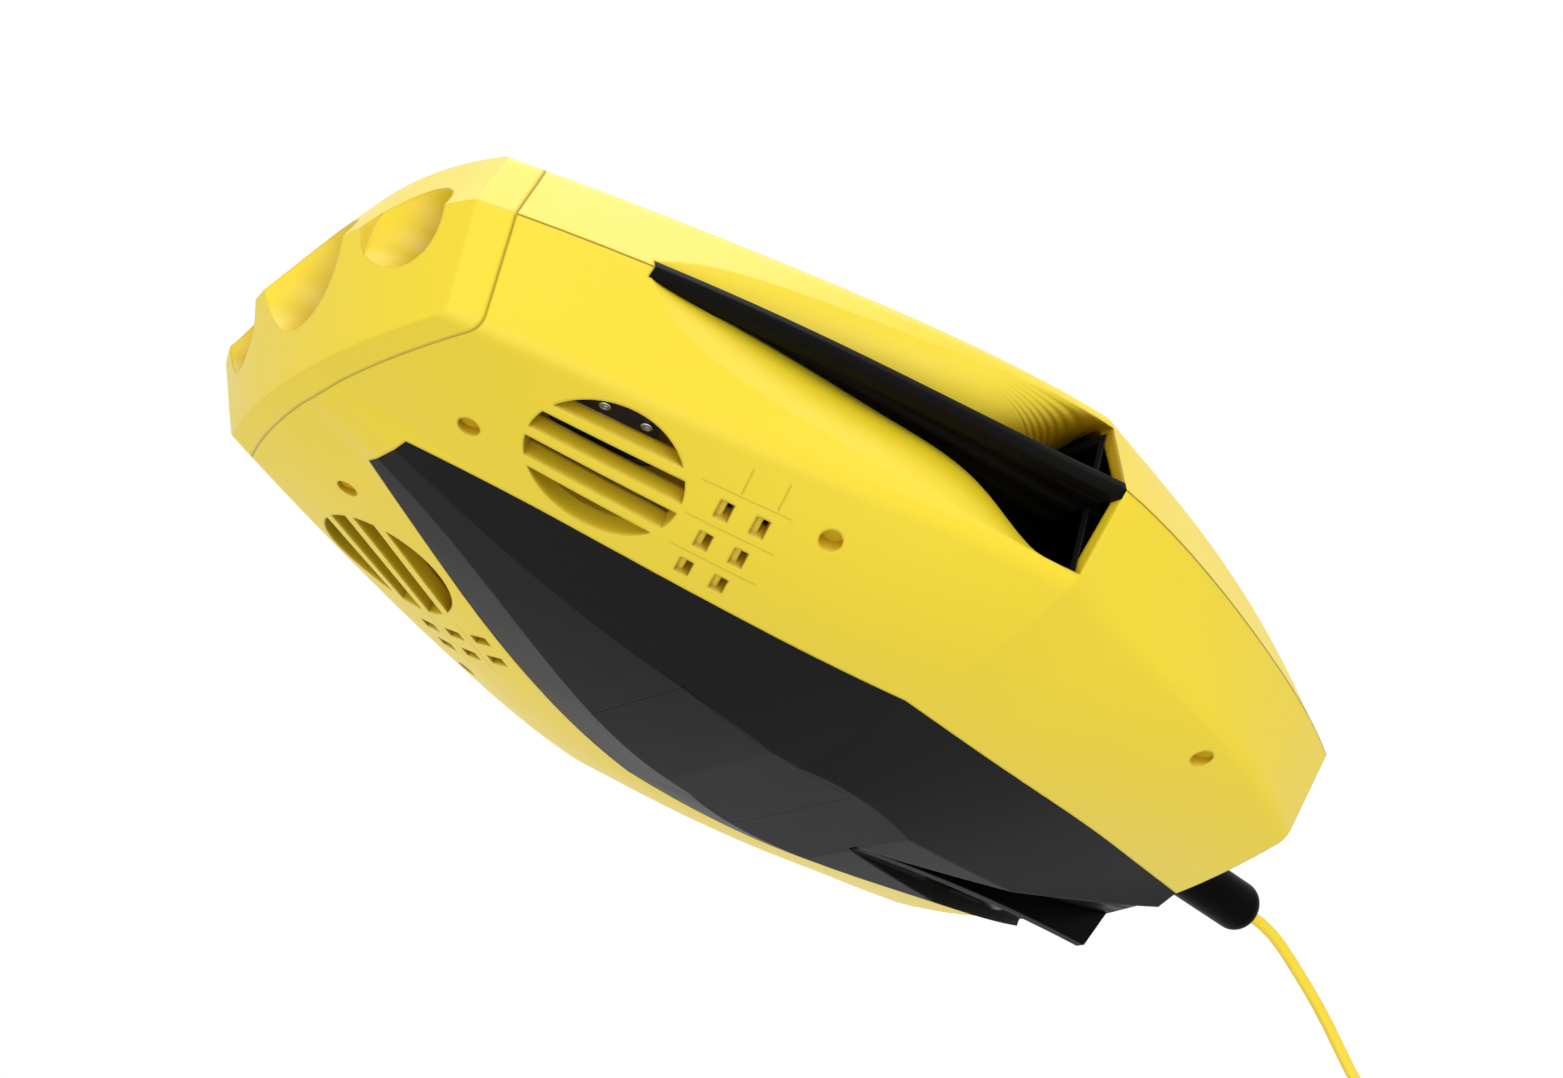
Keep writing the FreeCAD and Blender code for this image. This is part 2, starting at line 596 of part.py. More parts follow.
# ---------------------------------------------------------------------------
# Rear ducts for the two horizontal thrusters
# ---------------------------------------------------------------------------
def duct_solid(wall):
    """Scoop throat to round bore to tail, grown by a wall."""
    last = len(SCOOP) - 1
    y = size("scoop%d_y" % last)
    x_in = size("scoop%d_inner" % last) + 2
    x_out = station(WIDEST, "edge") - 10.5
    half = size("scoop%d_half" % last) - 2.4
    centre = size("duct_x")
    radius = size("duct_radius") + wall
    round_y = size("duct_round_y")
    corners = [V(x_in - wall, y, PARTING - half - wall), V(x_out + wall, y, PARTING - half - wall),
               V(x_out + wall, y, PARTING + half + wall), V(x_in - wall, y, PARTING + half + wall)]
    mouth = Part.makePolygon(corners + [corners[0]])
    quarter = math.pi / 2

    def on_circle(angle):
        return V(centre + radius * math.cos(angle), round_y, PARTING + radius * math.sin(angle))

    arcs = [Part.Arc(on_circle(a), on_circle(a + quarter / 2), on_circle(a + quarter)).toShape()
            for a in [-1.5 * quarter, -0.5 * quarter, 0.5 * quarter, 1.5 * quarter]]
    throat = Part.makeLoft([mouth, Part.Wire(arcs)], True, True)
    bore = cylinder(radius, V(centre, round_y, PARTING), V(centre, HALF_LENGTH + 20, PARTING))
    return single(throat.fuse(bore))


def side_duct():
    return single(duct_solid(size("duct_wall")).cut(duct_solid(0.0)).common(OUTER))


def outlet_guard():
    """A round guard with three bars across a rear duct."""
    radius = size("duct_radius") - GAP
    start = V(size("duct_x"), size("guard_y"), PARTING)
    end = V(start.x, start.y + size("guard_thick"), PARTING)
    bar = size("guard_bar")
    rim = cylinder(radius, start, end).cut(cylinder(radius - bar, start, end))
    bars = []
    for step in (-1, 0, 1):
        z = PARTING + step * radius / 2
        low = V(start.x - radius, start.y, z - bar / 2)
        bars.append(block(low, V(start.x + radius, end.y, z + bar / 2)))
    bars = Part.makeCompound(bars).common(cylinder(radius - bar / 2, start, end))
    return single(rim.fuse(bars))


# ---------------------------------------------------------------------------
# The two hull shells
# ---------------------------------------------------------------------------
def room():
    """The hollow inside the shells."""
    wall = size("wall")
    lining = wall + size("panel_thick")
    return single(hull_form(wall, lining, True).cut(ventral_wedge(lining, lining)))


ROOM = room()
DEEP = size("hull_height") + 20


def screw_places():
    port = [(size(name + "_screw_x"), size(name + "_screw_y")) for name in ("front", "mid", "rear")]
    return port + [(-x, y) for x, y in port]


def panel_screw_places():
    x, y = size("panel_screw_x"), size("panel_screw_y")
    return [(x, y), (-x, y)]


def panel_screw_head(y):
    """Height of a belly panel screw's seat on the recess floor."""
    return ventral_floor(y) + size("panel_thick") / 2


def case_post_places():
    x, inset = size("case_post_x"), size("case_post_inset")
    front = size("case_front_y") + inset
    rear = size("case_front_y") + size("case_length") - inset
    return [(x, front), (x, rear), (-x, front), (-x, rear)]


def upright_tube(radius, wall, x, y):
    """The lining of a vertical thruster's tunnel, between the skins."""
    tube = tunnel(radius + wall, x, y).cut(tunnel(radius, x, y))
    return single(tube.common(ROOM))


def screw_seat(x, y):
    """Height of the seat of a shell screw's head."""
    return hull_bottom(x, y) + size("screw_hole_depth")


def shell_posts():
    """What the shells carry inside: screw posts, panel screw bosses and posts under the case."""
    posts = [tunnel(size("post_radius"), x, y) for x, y in screw_places()]
    for x, y in panel_screw_places():
        top = panel_screw_head(y) + size("panel_screw_length") + 1
        posts.append(cylinder(size("post_radius"), V(x, y, -20), V(x, y, top)))
    for x, y in case_post_places():
        posts.append(cylinder(size("case_post_radius"), V(x, y, -20), V(x, y, size("case_bottom_z"))))
    return posts


def grille_openings():
    """Round openings in the skins, with slats left standing in them."""
    x, y = size("tunnel_x"), size("tunnel_y")
    radius = size("tunnel_radius")
    rear_y, rear_radius = size("rear_tunnel_y"), size("rear_tunnel_radius")
    bars = slats(x, y, size("slat_angle"), radius, 3)
    rear_bars = slats(0, rear_y, 0, rear_radius, 3)
    rear_bars = rear_bars.common(block(V(-DEEP, -DEEP, PARTING), V(DEEP, 2 * DEEP, DEEP)))
    depth = size("slat_depth")
    bars = Part.makeCompound(both_sides(bars) + [rear_bars]).cut(hull_form(depth, depth, True))
    rear = cylinder(rear_radius, V(0, rear_y, PARTING), V(0, rear_y, DEEP))
    bores = Part.makeCompound(both_sides(tunnel(radius, x, y)) + [rear])
    return bores.cut(bars)


def ventral_opening():
    """The rear tunnel's opening in the recess floor."""
    bore = tunnel(size("rear_tunnel_radius"), 0, size("rear_tunnel_y"))
    below = block(V(-DEEP, -DEEP, -DEEP), V(DEEP, 2 * DEEP, PARTING))
    return bore.common(ventral_wedge(0.0, PARTING)).common(below)


def screw_holes():
    holes = []
    for x, y in screw_places():
        seat = screw_seat(x, y)
        holes.append(cylinder(size("screw_hole_r"), V(x, y, -20), V(x, y, seat)))
        holes.append(cylinder(size("screw_shank_r"), V(x, y, -20), V(x, y, size("screw_end_z"))))
    for x, y in panel_screw_places():
        top = panel_screw_head(y) + size("panel_screw_length")
        holes.append(cylinder(size("panel_screw_r"), V(x, y, -20), V(x, y, top)))
    return holes


def shells(panel):
    """The lower and upper hull shells, cut from one hollow hull along the parting plane."""
    hollow = ROOM.cut(both_sides(scoop_void(size("wall"))) + shell_posts())
    boot = cylinder(size("boot_radius") + GAP, V(0, size("boot_start_y"), size("tether_z")),
                    V(0, size("boot_end_y"), size("tether_z")))
    cuts = [grille_openings(), nose_cutter(size("nose_cap_depth")), panel, ventral_wedge(0.0, 0.0), boot]
    cuts += [ventral_opening(), vent_recesses()] + screw_holes()
    cuts += both_sides(scoop_void()) + both_sides(vents(size("tunnel_x"), size("tunnel_y"), size("vent_slot")))
    cuts += both_sides(side_fin()) + both_sides(duct_solid(size("duct_wall") + GAP))
    body = OUTER.cut(hollow)
    for tool in cuts:
        body = body.cut(tool)
    far = size("hull_length")
    seam = size("seam_gap") / 2
    below = block(V(-far, -far, -20), V(far, far, PARTING - seam))
    above = block(V(-far, -far, PARTING + seam), V(far, far, far))
    return single(body.common(below)), single(body.common(above))


def pierced_panel(panel):
    """The belly panel with the rear tunnel's opening and its screw holes."""
    holes = [ventral_opening()]
    head = size("panel_screw_r") * 1.8
    for x, y in panel_screw_places():
        holes.append(cylinder(size("panel_screw_r"), V(x, y, -20), V(x, y, PARTING)))
        holes.append(cylinder(head + GAP, V(x, y, -20), V(x, y, panel_screw_head(y))))
    return single(panel.cut(holes))


def shell_screw(x, y):
    seat = screw_seat(x, y)
    head = cylinder(size("screw_hole_r") - GAP, V(x, y, seat - size("screw_head_length")), V(x, y, seat))
    return head.fuse(cylinder(size("screw_shank_r"), V(x, y, seat), V(x, y, size("screw_end_z"))))


def screw_plug(x, y):
    low = hull_bottom(x, y) + size("plug_recess")
    return cylinder(size("screw_hole_r"), V(x, y, low), V(x, y, low + size("plug_thick")))


def panel_screw(x, y):
    seat = panel_screw_head(y)
    radius = size("panel_screw_r")
    head = cylinder(1.8 * radius, V(x, y, seat - radius), V(x, y, seat))
    return head.fuse(cylinder(radius, V(x, y, seat), V(x, y, seat + size("panel_screw_length"))))


# ---------------------------------------------------------------------------
# The document's objects
# ---------------------------------------------------------------------------
NODES = []


def piece(label, shape, placement=None):
    """A sub-part whose shape is worked out above."""
    feature = doc.addObject("Part::Feature", label)
    feature.Label = label
    feature.Shape = shape
    if placement is not None:
        feature.Placement = placement
    NODES.append(feature)
    return feature


def plane_of(body, role):
    return [feature for feature in body.Origin.OriginFeatures if feature.Role == role][0]


def turned(label, corners, placement, rounding=None):
    """A turned piece. Its corners are (radius, height) expressions about the local Z axis."""
    body = doc.addObject("PartDesign::Body", label)
    body.Label = label
    sketch = body.newObject("Sketcher::SketchObject", label + "_profile")
    sketch.AttachmentSupport = [(plane_of(body, "XZ_Plane"), "")]
    sketch.MapMode = "FlatFace"
    values = [V(sheet.evalExpression(r), sheet.evalExpression(h), 0) for r, h in corners]
    count = len(corners)
    for index in range(count):
        sketch.addGeometry(Part.LineSegment(values[index], values[(index + 1) % count]), False)
    for index in range(count):
        sketch.addConstraint(Sketcher.Constraint("Coincident", index, 2, (index + 1) % count, 1))
    for index, (radius, height) in enumerate(corners):
        for kind, axis, expression, value in (("DistanceX", -2, radius, values[index].x),
                                              ("DistanceY", -1, height, values[index].y)):
            if expression == "0":
                sketch.addConstraint(Sketcher.Constraint("PointOnObject", index, 1, axis))
            else:
                made = sketch.addConstraint(Sketcher.Constraint(kind, -1, 1, index, 1, value))
                sketch.setExpression("Constraints[%d]" % made, expression)
    turn = body.newObject("PartDesign::Revolution", label + "_turn")
    turn.Profile = sketch
    turn.ReferenceAxis = (sketch, ["V_Axis"])
    turn.Angle = 360
    body.Placement = placement
    doc.recompute()
    if rounding is not None:
        round_rims(body, turn, label, rounding)
    NODES.append(body)
    return body


def round_rims(body, turn, label, rounding):
    """Round a turned piece's rims. rounding holds the size's alias and the rims' local heights."""
    alias, radii, heights = rounding
    names = []
    for index, edge in enumerate(turn.Shape.Edges):
        if not isinstance(edge.Curve, Part.Circle):
            continue
        middle = edge.Curve.Center
        for radius, height in zip(radii, heights):
            if abs(edge.Curve.Radius - radius) < 0.01 and abs(middle.z - height) < 0.01:
                names.append("Edge%d" % (index + 1))
    fillet = body.newObject("PartDesign::Fillet", label + "_round")
    fillet.Base = (turn, names)
    fillet.Radius = size(alias)
    fillet.setExpression("Radius", "Sizes." + alias)
    doc.recompute()


def along(start, direction):
    """A placement at start whose local Z axis points along direction."""
    return FreeCAD.Placement(start, FreeCAD.Rotation(Z_AXIS, direction))


def box(label, corner, lengths):
    """A box whose low corner and lengths are expressions."""
    shape = doc.addObject("Part::Box", label)
    for name, expression in zip(("Length", "Width", "Height"), lengths):
        shape.setExpression(name, expression)
    for name, expression in zip("xyz", corner):
        shape.setExpression("Placement.Base." + name, expression)
    return shape


def cut_of(label, base, tool):
    cut = doc.addObject("Part::Cut", label)
    cut.Label = label
    cut.Base = base
    cut.Tool = tool
    return cut


# ---------------------------------------------------------------------------
# Thrusters. Each is made about its own +Z axis, from its mount to its propeller.
# ---------------------------------------------------------------------------
BLADES = 3
BLADE_ANGLES = (58.0, 38.0, 24.0)


def motor_mount(bore):
    """A rim in the duct with three arms to the motor's seat."""
    rim_radius = bore - GAP
    height = size("mount_height")
    top = V(0, 0, height)
    seat = cylinder(size("motor_radius") + 0.9, ORIGIN, top)
    rim = cylinder(rim_radius, ORIGIN, top).cut(cylinder(rim_radius - size("mount_rim"), ORIGIN, top))
    arm = size("mount_arm")
    arms = []
    for index in range(3):
        bar = block(V(0, -arm / 2, 0), V(rim_radius - size("mount_rim") / 2, arm / 2, height))
        bar.rotate(ORIGIN, Z_AXIS, index * 120)
        arms.append(bar)
    return single(seat.multiFuse([rim] + arms))


def blade(tip_radius, middle_z):
    """One twisted blade, lofted through chords that flatten and widen towards the tip."""
    root = size("hub_radius") - 0.8
    half_thick = size("blade_thick") / 2
    wires = []
    for share, angle in zip((0.0, 0.55, 1.0), BLADE_ANGLES):
        radius = root + share * (tip_radius - root)
        chord = size("hub_length") * (0.95 + 0.25 * math.sin(math.pi * share * 0.8))
        half = min(chord / 2, size("hub_length") / 2 / math.sin(math.radians(angle)) - half_thick)
        front, back = V(radius, -half, 0), V(radius, half, 0)
        low, high = V(radius, 0, -half_thick), V(radius, 0, half_thick)
        loop = Part.Wire([Part.Arc(front, high, back).toShape(), Part.Arc(back, low, front).toShape()])
        loop.rotate(ORIGIN, X_AXIS, angle)
        loop.translate(V(0, 0, middle_z))
        wires.append(loop)
    return Part.makeLoft(wires, True, False)


def propeller(tip_radius):
    """Hub with a rounded nose, three blades and a blind bore for the shaft."""
    start = size("mount_height") + size("motor_length") + size("motor_gap")
    length, radius = size("hub_length"), size("hub_radius")
    hub = cylinder(radius, V(0, 0, start), V(0, 0, start + length))
    rims = [edge for edge in hub.Edges if isinstance(edge.Curve, Part.Circle)
            and abs(edge.Curve.Center.z - start - length) < 0.01]
    hub = hub.makeFillet(0.6 * radius, rims)
    blades = []
    for index in range(BLADES):
        turn = blade(tip_radius, start + length / 2)
        turn.rotate(ORIGIN, Z_AXIS, index * 360.0 / BLADES)
        blades.append(turn)
    swept = cylinder(tip_radius, V(0, 0, start), V(0, 0, start + length))
    body = hub.multiFuse(blades).common(swept)
    shaft = cylinder(size("shaft_radius"), ORIGIN, V(0, 0, start + 0.8 * length))
    return single(body.cut(shaft))


def thruster(name, start, direction, bore):
    place = along(start, direction)
    piece(name + "_mount", motor_mount(bore), place)
    seat = "Sizes.mount_height"
    top = seat + " + Sizes.motor_length"
    hole = "Sizes.shaft_radius + Sizes.shaft_gap"
    floor = seat + " + Sizes.shaft_radius / 2"
    turned(name + "_motor", [("0", seat), ("Sizes.motor_radius", seat), ("Sizes.motor_radius", top),
                             (hole, top), (hole, floor), ("0", floor)], place)
    foot = seat + " + Sizes.shaft_radius"
    end = top + " + Sizes.motor_gap + 0.8 * Sizes.hub_length"
    turned(name + "_shaft", [("0", foot), ("Sizes.shaft_radius", foot), ("Sizes.shaft_radius", end),
                             ("0", end)], place)
    piece(name + "_propeller", propeller(bore - size("prop_gap")), place)


# ---------------------------------------------------------------------------
# Hull, fins, ducts and fasteners
# ---------------------------------------------------------------------------
plain_panel = belly_panel()
lower, upper = shells(plain_panel)
piece("lower_shell", lower)
piece("upper_shell", upper)
piece("nose_cap", nose_cap())
piece("belly_panel", pierced_panel(plain_panel))
piece("ventral_fin", ventral_fin())
for maker, name in ((side_fin, "side_fin"), (side_duct, "side_duct"), (outlet_guard, "outlet_guard")):
    port = maker()
    piece(name + "_left", port)
    piece(name + "_right", mirrored(port))
front_tube = upright_tube(size("tunnel_radius"), size("tunnel_wall"), size("tunnel_x"), size("tunnel_y"))
piece("front_tunnel_left", front_tube)
piece("front_tunnel_right", mirrored(front_tube))
piece("rear_tunnel", upright_tube(size("rear_tunnel_radius"), size("tunnel_wall"), 0, size("rear_tunnel_y")))
piece("shell_screws", Part.makeCompound([shell_screw(x, y) for x, y in screw_places()]))
piece("screw_plugs", Part.makeCompound([screw_plug(x, y) for x, y in screw_places()]))
piece("panel_screws", Part.makeCompound([panel_screw(x, y) for x, y in panel_screw_places()]))

for side, sign in (("left", 1), ("right", -1)):
    thruster("front_" + side, V(sign * size("tunnel_x"), size("tunnel_y"), size("front_mount_z")),
             Z_AXIS, size("tunnel_radius"))
    thruster("drive_" + side, V(sign * size("duct_x"), size("drive_mount_y"), PARTING),
             Y_AXIS, size("duct_radius"))
thruster("rear", V(0, size("rear_tunnel_y"), size("rear_mount_z")), Z_AXIS, size("rear_tunnel_radius"))

# ---------------------------------------------------------------------------
# Electronics case with its battery and board
# ---------------------------------------------------------------------------
CASE = {"x": "-Sizes.case_width / 2", "y": "Sizes.case_front_y", "z": "Sizes.case_bottom_z"}
INSIDE = ["Sizes.case_width - 2 * Sizes.case_wall", "Sizes.case_length - 2 * Sizes.case_wall"]
case_block = box("case_block", [CASE["x"], CASE["y"], CASE["z"]],
                 ["Sizes.case_width", "Sizes.case_length", "Sizes.case_height"])
case_room = box("case_room", [CASE["x"] + " + Sizes.case_wall", CASE["y"] + " + Sizes.case_wall",
                              CASE["z"] + " + Sizes.case_wall"], INSIDE + ["Sizes.case_height"])
case_hollow = cut_of("case_hollow", case_block, case_room)
BOARD_X = "-Sizes.board_width / 2"
BOARD_Y = "Sizes.case_front_y + 2 * Sizes.case_wall"
FLOOR_Z = "Sizes.case_bottom_z + Sizes.case_wall"
standoffs = []
for across in (0, 1):
    for down in (0, 1):
        post = doc.addObject("Part::Cylinder", "standoff_%d%d" % (across, down))
        post.setExpression("Radius", "Sizes.standoff_radius")
        post.setExpression("Height", "Sizes.standoff_height")
        post.setExpression("Placement.Base.x", "%s + Sizes.standoff_radius + %d * (Sizes.board_width"
                           " - 2 * Sizes.standoff_radius)" % (BOARD_X, across))
        post.setExpression("Placement.Base.y", "%s + Sizes.standoff_radius + %d * (Sizes.board_length"
                           " - 2 * Sizes.standoff_radius)" % (BOARD_Y, down))
        post.setExpression("Placement.Base.z", FLOOR_Z)
        standoffs.append(post)
tray = doc.addObject("Part::MultiFuse", "case_tray")
tray.Shapes = [case_hollow] + standoffs
NODES.append(tray)
GASKET_Z = "Sizes.case_bottom_z + Sizes.case_height"
gasket_block = box("gasket_block", [CASE["x"], CASE["y"], GASKET_Z],
                   ["Sizes.case_width", "Sizes.case_length", "Sizes.gasket_thick"])
gasket_room = box("gasket_room", [CASE["x"] + " + Sizes.case_wall", CASE["y"] + " + Sizes.case_wall",
                                  GASKET_Z], INSIDE + ["Sizes.gasket_thick"])
NODES.append(cut_of("case_gasket", gasket_block, gasket_room))
NODES.append(box("case_lid", [CASE["x"], CASE["y"], GASKET_Z + " + Sizes.gasket_thick"],
                 ["Sizes.case_width", "Sizes.case_length", "Sizes.case_lid"]))
NODES.append(box("main_board", [BOARD_X, BOARD_Y, FLOOR_Z + " + Sizes.standoff_height"],
                 ["Sizes.board_width", "Sizes.board_length", "Sizes.board_thick"]))
NODES.append(box("battery_pack", ["-Sizes.battery_width / 2", "Sizes.case_front_y + Sizes.case_length"
                                  " - Sizes.case_wall - Sizes.battery_length - Sizes.fit_gap", FLOOR_Z],
                 ["Sizes.battery_width", "Sizes.battery_length", "Sizes.battery_height"]))

# ---------------------------------------------------------------------------
# Camera and lamps behind the nose recesses. Their local Z axis points to the tail.
# ---------------------------------------------------------------------------
camera_back = along(V(0, throat_y(0.0, size("camera_bell_depth")), PARTING), Y_AXIS)
CAMERA_RIM = "Sizes.camera_throat + Sizes.bell_wall"
turned("camera_window", [("0", "0"), (CAMERA_RIM, "0"), (CAMERA_RIM, "Sizes.window_thick"),
                         ("0", "Sizes.window_thick")], camera_back)
pocket_z = "Sizes.window_thick + Sizes.camera_pocket"
body_end = "Sizes.window_thick + Sizes.camera_length"
turned("camera_body", [("Sizes.camera_throat", "Sizes.window_thick"), (CAMERA_RIM, "Sizes.window_thick"),
                       (CAMERA_RIM, body_end), ("0", body_end), ("0", pocket_z),
                       ("Sizes.camera_throat", pocket_z)], camera_back)
lens_front = pocket_z + " - Sizes.camera_lens_length"
turned("camera_lens", [("0", lens_front), ("Sizes.camera_lens_radius", lens_front),
                       ("Sizes.camera_lens_radius", pocket_z), ("0", pocket_z)], camera_back)
LAMP_RIM = "Sizes.lamp_throat + Sizes.bell_wall"
for side, sign in (("left", 1), ("right", -1)):
    lamp_back = along(V(sign * size("lamp_x"), throat_y(size("lamp_x"), size("lamp_bell_depth")), PARTING),
                      Y_AXIS)
    turned("lamp_lens_" + side, [("0", "0"), (LAMP_RIM, "0"), (LAMP_RIM, "Sizes.window_thick"),
                                 ("0", "Sizes.window_thick")], lamp_back)
    pocket = "Sizes.window_thick + Sizes.lamp_pocket"
    end = "Sizes.window_thick + Sizes.lamp_length"
    turned("lamp_housing_" + side, [("Sizes.lamp_throat", "Sizes.window_thick"),
                                    (LAMP_RIM, "Sizes.window_thick"), (LAMP_RIM, end), ("0", end),
                                    ("0", pocket), ("Sizes.lamp_throat", pocket)], lamp_back)
    face = pocket + " - Sizes.led_board"
    turned("lamp_led_" + side, [("0", face + " - Sizes.led_height"),
                                ("Sizes.led_radius", face + " - Sizes.led_height"),
                                ("Sizes.led_radius", face), ("Sizes.lamp_throat - Sizes.fit_gap", face),
                                ("Sizes.lamp_throat - Sizes.fit_gap", pocket), ("0", pocket)], lamp_back)

# ---------------------------------------------------------------------------
# Tether: socket, boot, cord, stored coil and topside connector
# ---------------------------------------------------------------------------
TETHER_ROUTE = [
    (0.0, 166.4, 41.3), (0.0, 175.5, 41.3), (0.0, 187.0, 36.0), (0.0, 201.0, 28.6),
    (0.6, 215.5, 17.0), (2.4, 230.0, 7.6), (4.6, 245.0, 4.0), (4.6, 258.0, 4.0),
]


def tether_tube():
    """The cord's free stretch: straight runs joined by tangent arcs."""
    points = [V(*p) for p in TETHER_ROUTE]
    edges = []
    reached = points[0]
    length = 0.0
    radii = []
    for before, corner, after in zip(points, points[1:], points[2:]):
        one = before.sub(corner).normalize()
        two = after.sub(corner).normalize()
        turn = math.pi - one.getAngle(two)
        reach = 0.45 * min(before.distanceToPoint(corner), after.distanceToPoint(corner))
        start, middle, end = rounded_corner(before, corner, after, reach)
        radii.append(reach / math.tan(turn / 2))
        edges.append(Part.LineSegment(reached, start).toShape())
        edges.append(Part.Arc(start, middle, end).toShape())
        length += reached.distanceToPoint(start) + radii[-1] * turn
        reached = end
    edges.append(Part.LineSegment(reached, points[-1]).toShape())
    length += reached.distanceToPoint(points[-1])
    path = Part.Wire(edges)
    radius = size("tether_radius")
    ring = Part.Wire([Part.Circle(points[0], points[1].sub(points[0]), radius).toShape()])
    tube = path.makePipeShell([ring], True, False)
    print("tether arc radii:", ", ".join("%.1f" % r for r in radii))
    print("tether free length: %.1f, volume / (section * length): %.4f"
          % (length, tube.Volume / (math.pi * radius * radius * length)))
    return tube


boot_back = along(V(0, size("boot_start_y"), size("tether_z")), Y_AXIS)
socket_front = along(V(0, size("boot_start_y") - size("socket_length"), size("tether_z")), Y_AXIS)
turned("tether_socket", [("0", "0"), ("Sizes.socket_radius", "0"),
                         ("Sizes.socket_radius", "Sizes.socket_length"), ("0", "Sizes.socket_length")],
       socket_front)
BOOT_END = "Sizes.boot_end_y - Sizes.boot_start_y"
turned("tether_boot", [("0", "0"), ("Sizes.boot_radius", "0"), ("Sizes.boot_radius", BOOT_END), ("0", BOOT_END)],
       boot_back, ("boot_round", [size("boot_radius")], [size("boot_end_y") - size("boot_start_y")]))
piece("tether", tether_tube())
coil_place = along(V(size("coil_x"), size("coil_y"), 0), Z_AXIS)
COIL_IN = "Sizes.coil_radius - Sizes.coil_width / 2"
COIL_OUT = "Sizes.coil_radius + Sizes.coil_width / 2"
inner = size("coil_radius") - size("coil_width") / 2
outer = size("coil_radius") + size("coil_width") / 2
turned("tether_coil", [(COIL_IN, "0"), (COIL_OUT, "0"), (COIL_OUT, "Sizes.coil_height"),
                       (COIL_IN, "Sizes.coil_height")], coil_place,
       ("coil_round", [inner, outer], [size("coil_height"), size("coil_height")]))
connector_place = along(V(size("coil_x"), size("coil_y") + outer, size("connector_radius")), Y_AXIS)
NECK = "2 * Sizes.tether_radius"
STEP = "Sizes.connector_length / 4"
turned("tether_connector", [("0", "0"), (NECK, "0"), ("Sizes.connector_radius", STEP),
                            ("Sizes.connector_radius", "Sizes.connector_length"),
                            ("0", "Sizes.connector_length")], connector_place)

# ---------------------------------------------------------------------------
# Checks and export
# ---------------------------------------------------------------------------
doc.recompute()
for item in doc.Objects:
    if "Invalid" in item.State or "Error" in item.State:
        raise RuntimeError("%s failed to build: %s" % (item.Name, item.State))
for node in NODES:
    if node.Shape.isNull() or not node.Shape.isValid():
        raise RuntimeError("%s has no valid shape" % node.Label)

os.makedirs("parts", exist_ok=True)
for node in NODES:
    node.Shape.exportStep("parts/%s.step" % node.Label)
print("%d pieces written" % len(NODES))
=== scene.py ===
import math

import bmesh
import bpy
from mathutils import Matrix, Vector


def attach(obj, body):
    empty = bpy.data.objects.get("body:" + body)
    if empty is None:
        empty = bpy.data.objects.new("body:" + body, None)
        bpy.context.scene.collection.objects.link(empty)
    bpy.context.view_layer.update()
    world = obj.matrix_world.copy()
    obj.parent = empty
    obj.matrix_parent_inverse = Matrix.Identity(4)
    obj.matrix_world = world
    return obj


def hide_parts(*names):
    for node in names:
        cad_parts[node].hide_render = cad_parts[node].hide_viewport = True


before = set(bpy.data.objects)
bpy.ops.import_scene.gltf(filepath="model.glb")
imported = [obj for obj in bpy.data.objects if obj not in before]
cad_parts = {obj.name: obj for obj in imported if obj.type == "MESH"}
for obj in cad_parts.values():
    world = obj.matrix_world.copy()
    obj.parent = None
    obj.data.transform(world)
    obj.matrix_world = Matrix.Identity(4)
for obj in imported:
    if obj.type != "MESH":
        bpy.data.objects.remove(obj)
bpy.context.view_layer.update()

# --- Viewpoint ---------------------------------------------------------------
# A plain camera low off the port bow, looking up at the belly, so that the
# underside, the port side and the nose recesses all show.
view_lens = bpy.data.cameras.new("viewpoint")
view_lens.sensor_width = 36.0
view_lens.lens = 49.145
view_right = Vector((0.63539, 0.72706, 0.26013))
view_up = Vector((0.22918, -0.49925, 0.8356))
view_back = Vector((0.7374, -0.47131, -0.48385))
viewpoint = bpy.data.objects.new("viewpoint", view_lens)
view_turn = Matrix((view_right, view_up, view_back)).transposed().to_4x4()
viewpoint.matrix_world = Matrix.Translation((0.340849, -0.216056, -0.169034)) @ view_turn
bpy.context.scene.collection.objects.link(viewpoint)
bpy.context.scene.camera = viewpoint
bpy.context.scene.view_settings.view_transform = "Standard"

# --- Tether ------------------------------------------------------------------
# A 3 mm floating cable of foamed yellow polyurethane, extruded in one length of
# 15 m. It leaves the tail's boot, sags to the floor and is stored as a neat coil.
cord_radius = 0.0015
boot_end = (0.0, 0.1664, 0.0413)
cord_points = [
    boot_end, (0.0, 0.1755, 0.0413), (0.0, 0.187, 0.036), (0.0, 0.201, 0.0286),
    (0.0006, 0.2155, 0.017), (0.0024, 0.230, 0.0076), (0.0040, 0.2425, 0.004),
    (0.0066, 0.2540, 0.0024), (0.0150, 0.2610, 0.00152),
]
coil_middle = Vector((0.0046, 0.300, 0.0))
coil_pitch = 0.00302
coil_outside = 0.0403
coil_columns, coil_layers = 8, 9
turn_points = 12
step = 2 * math.pi / turn_points
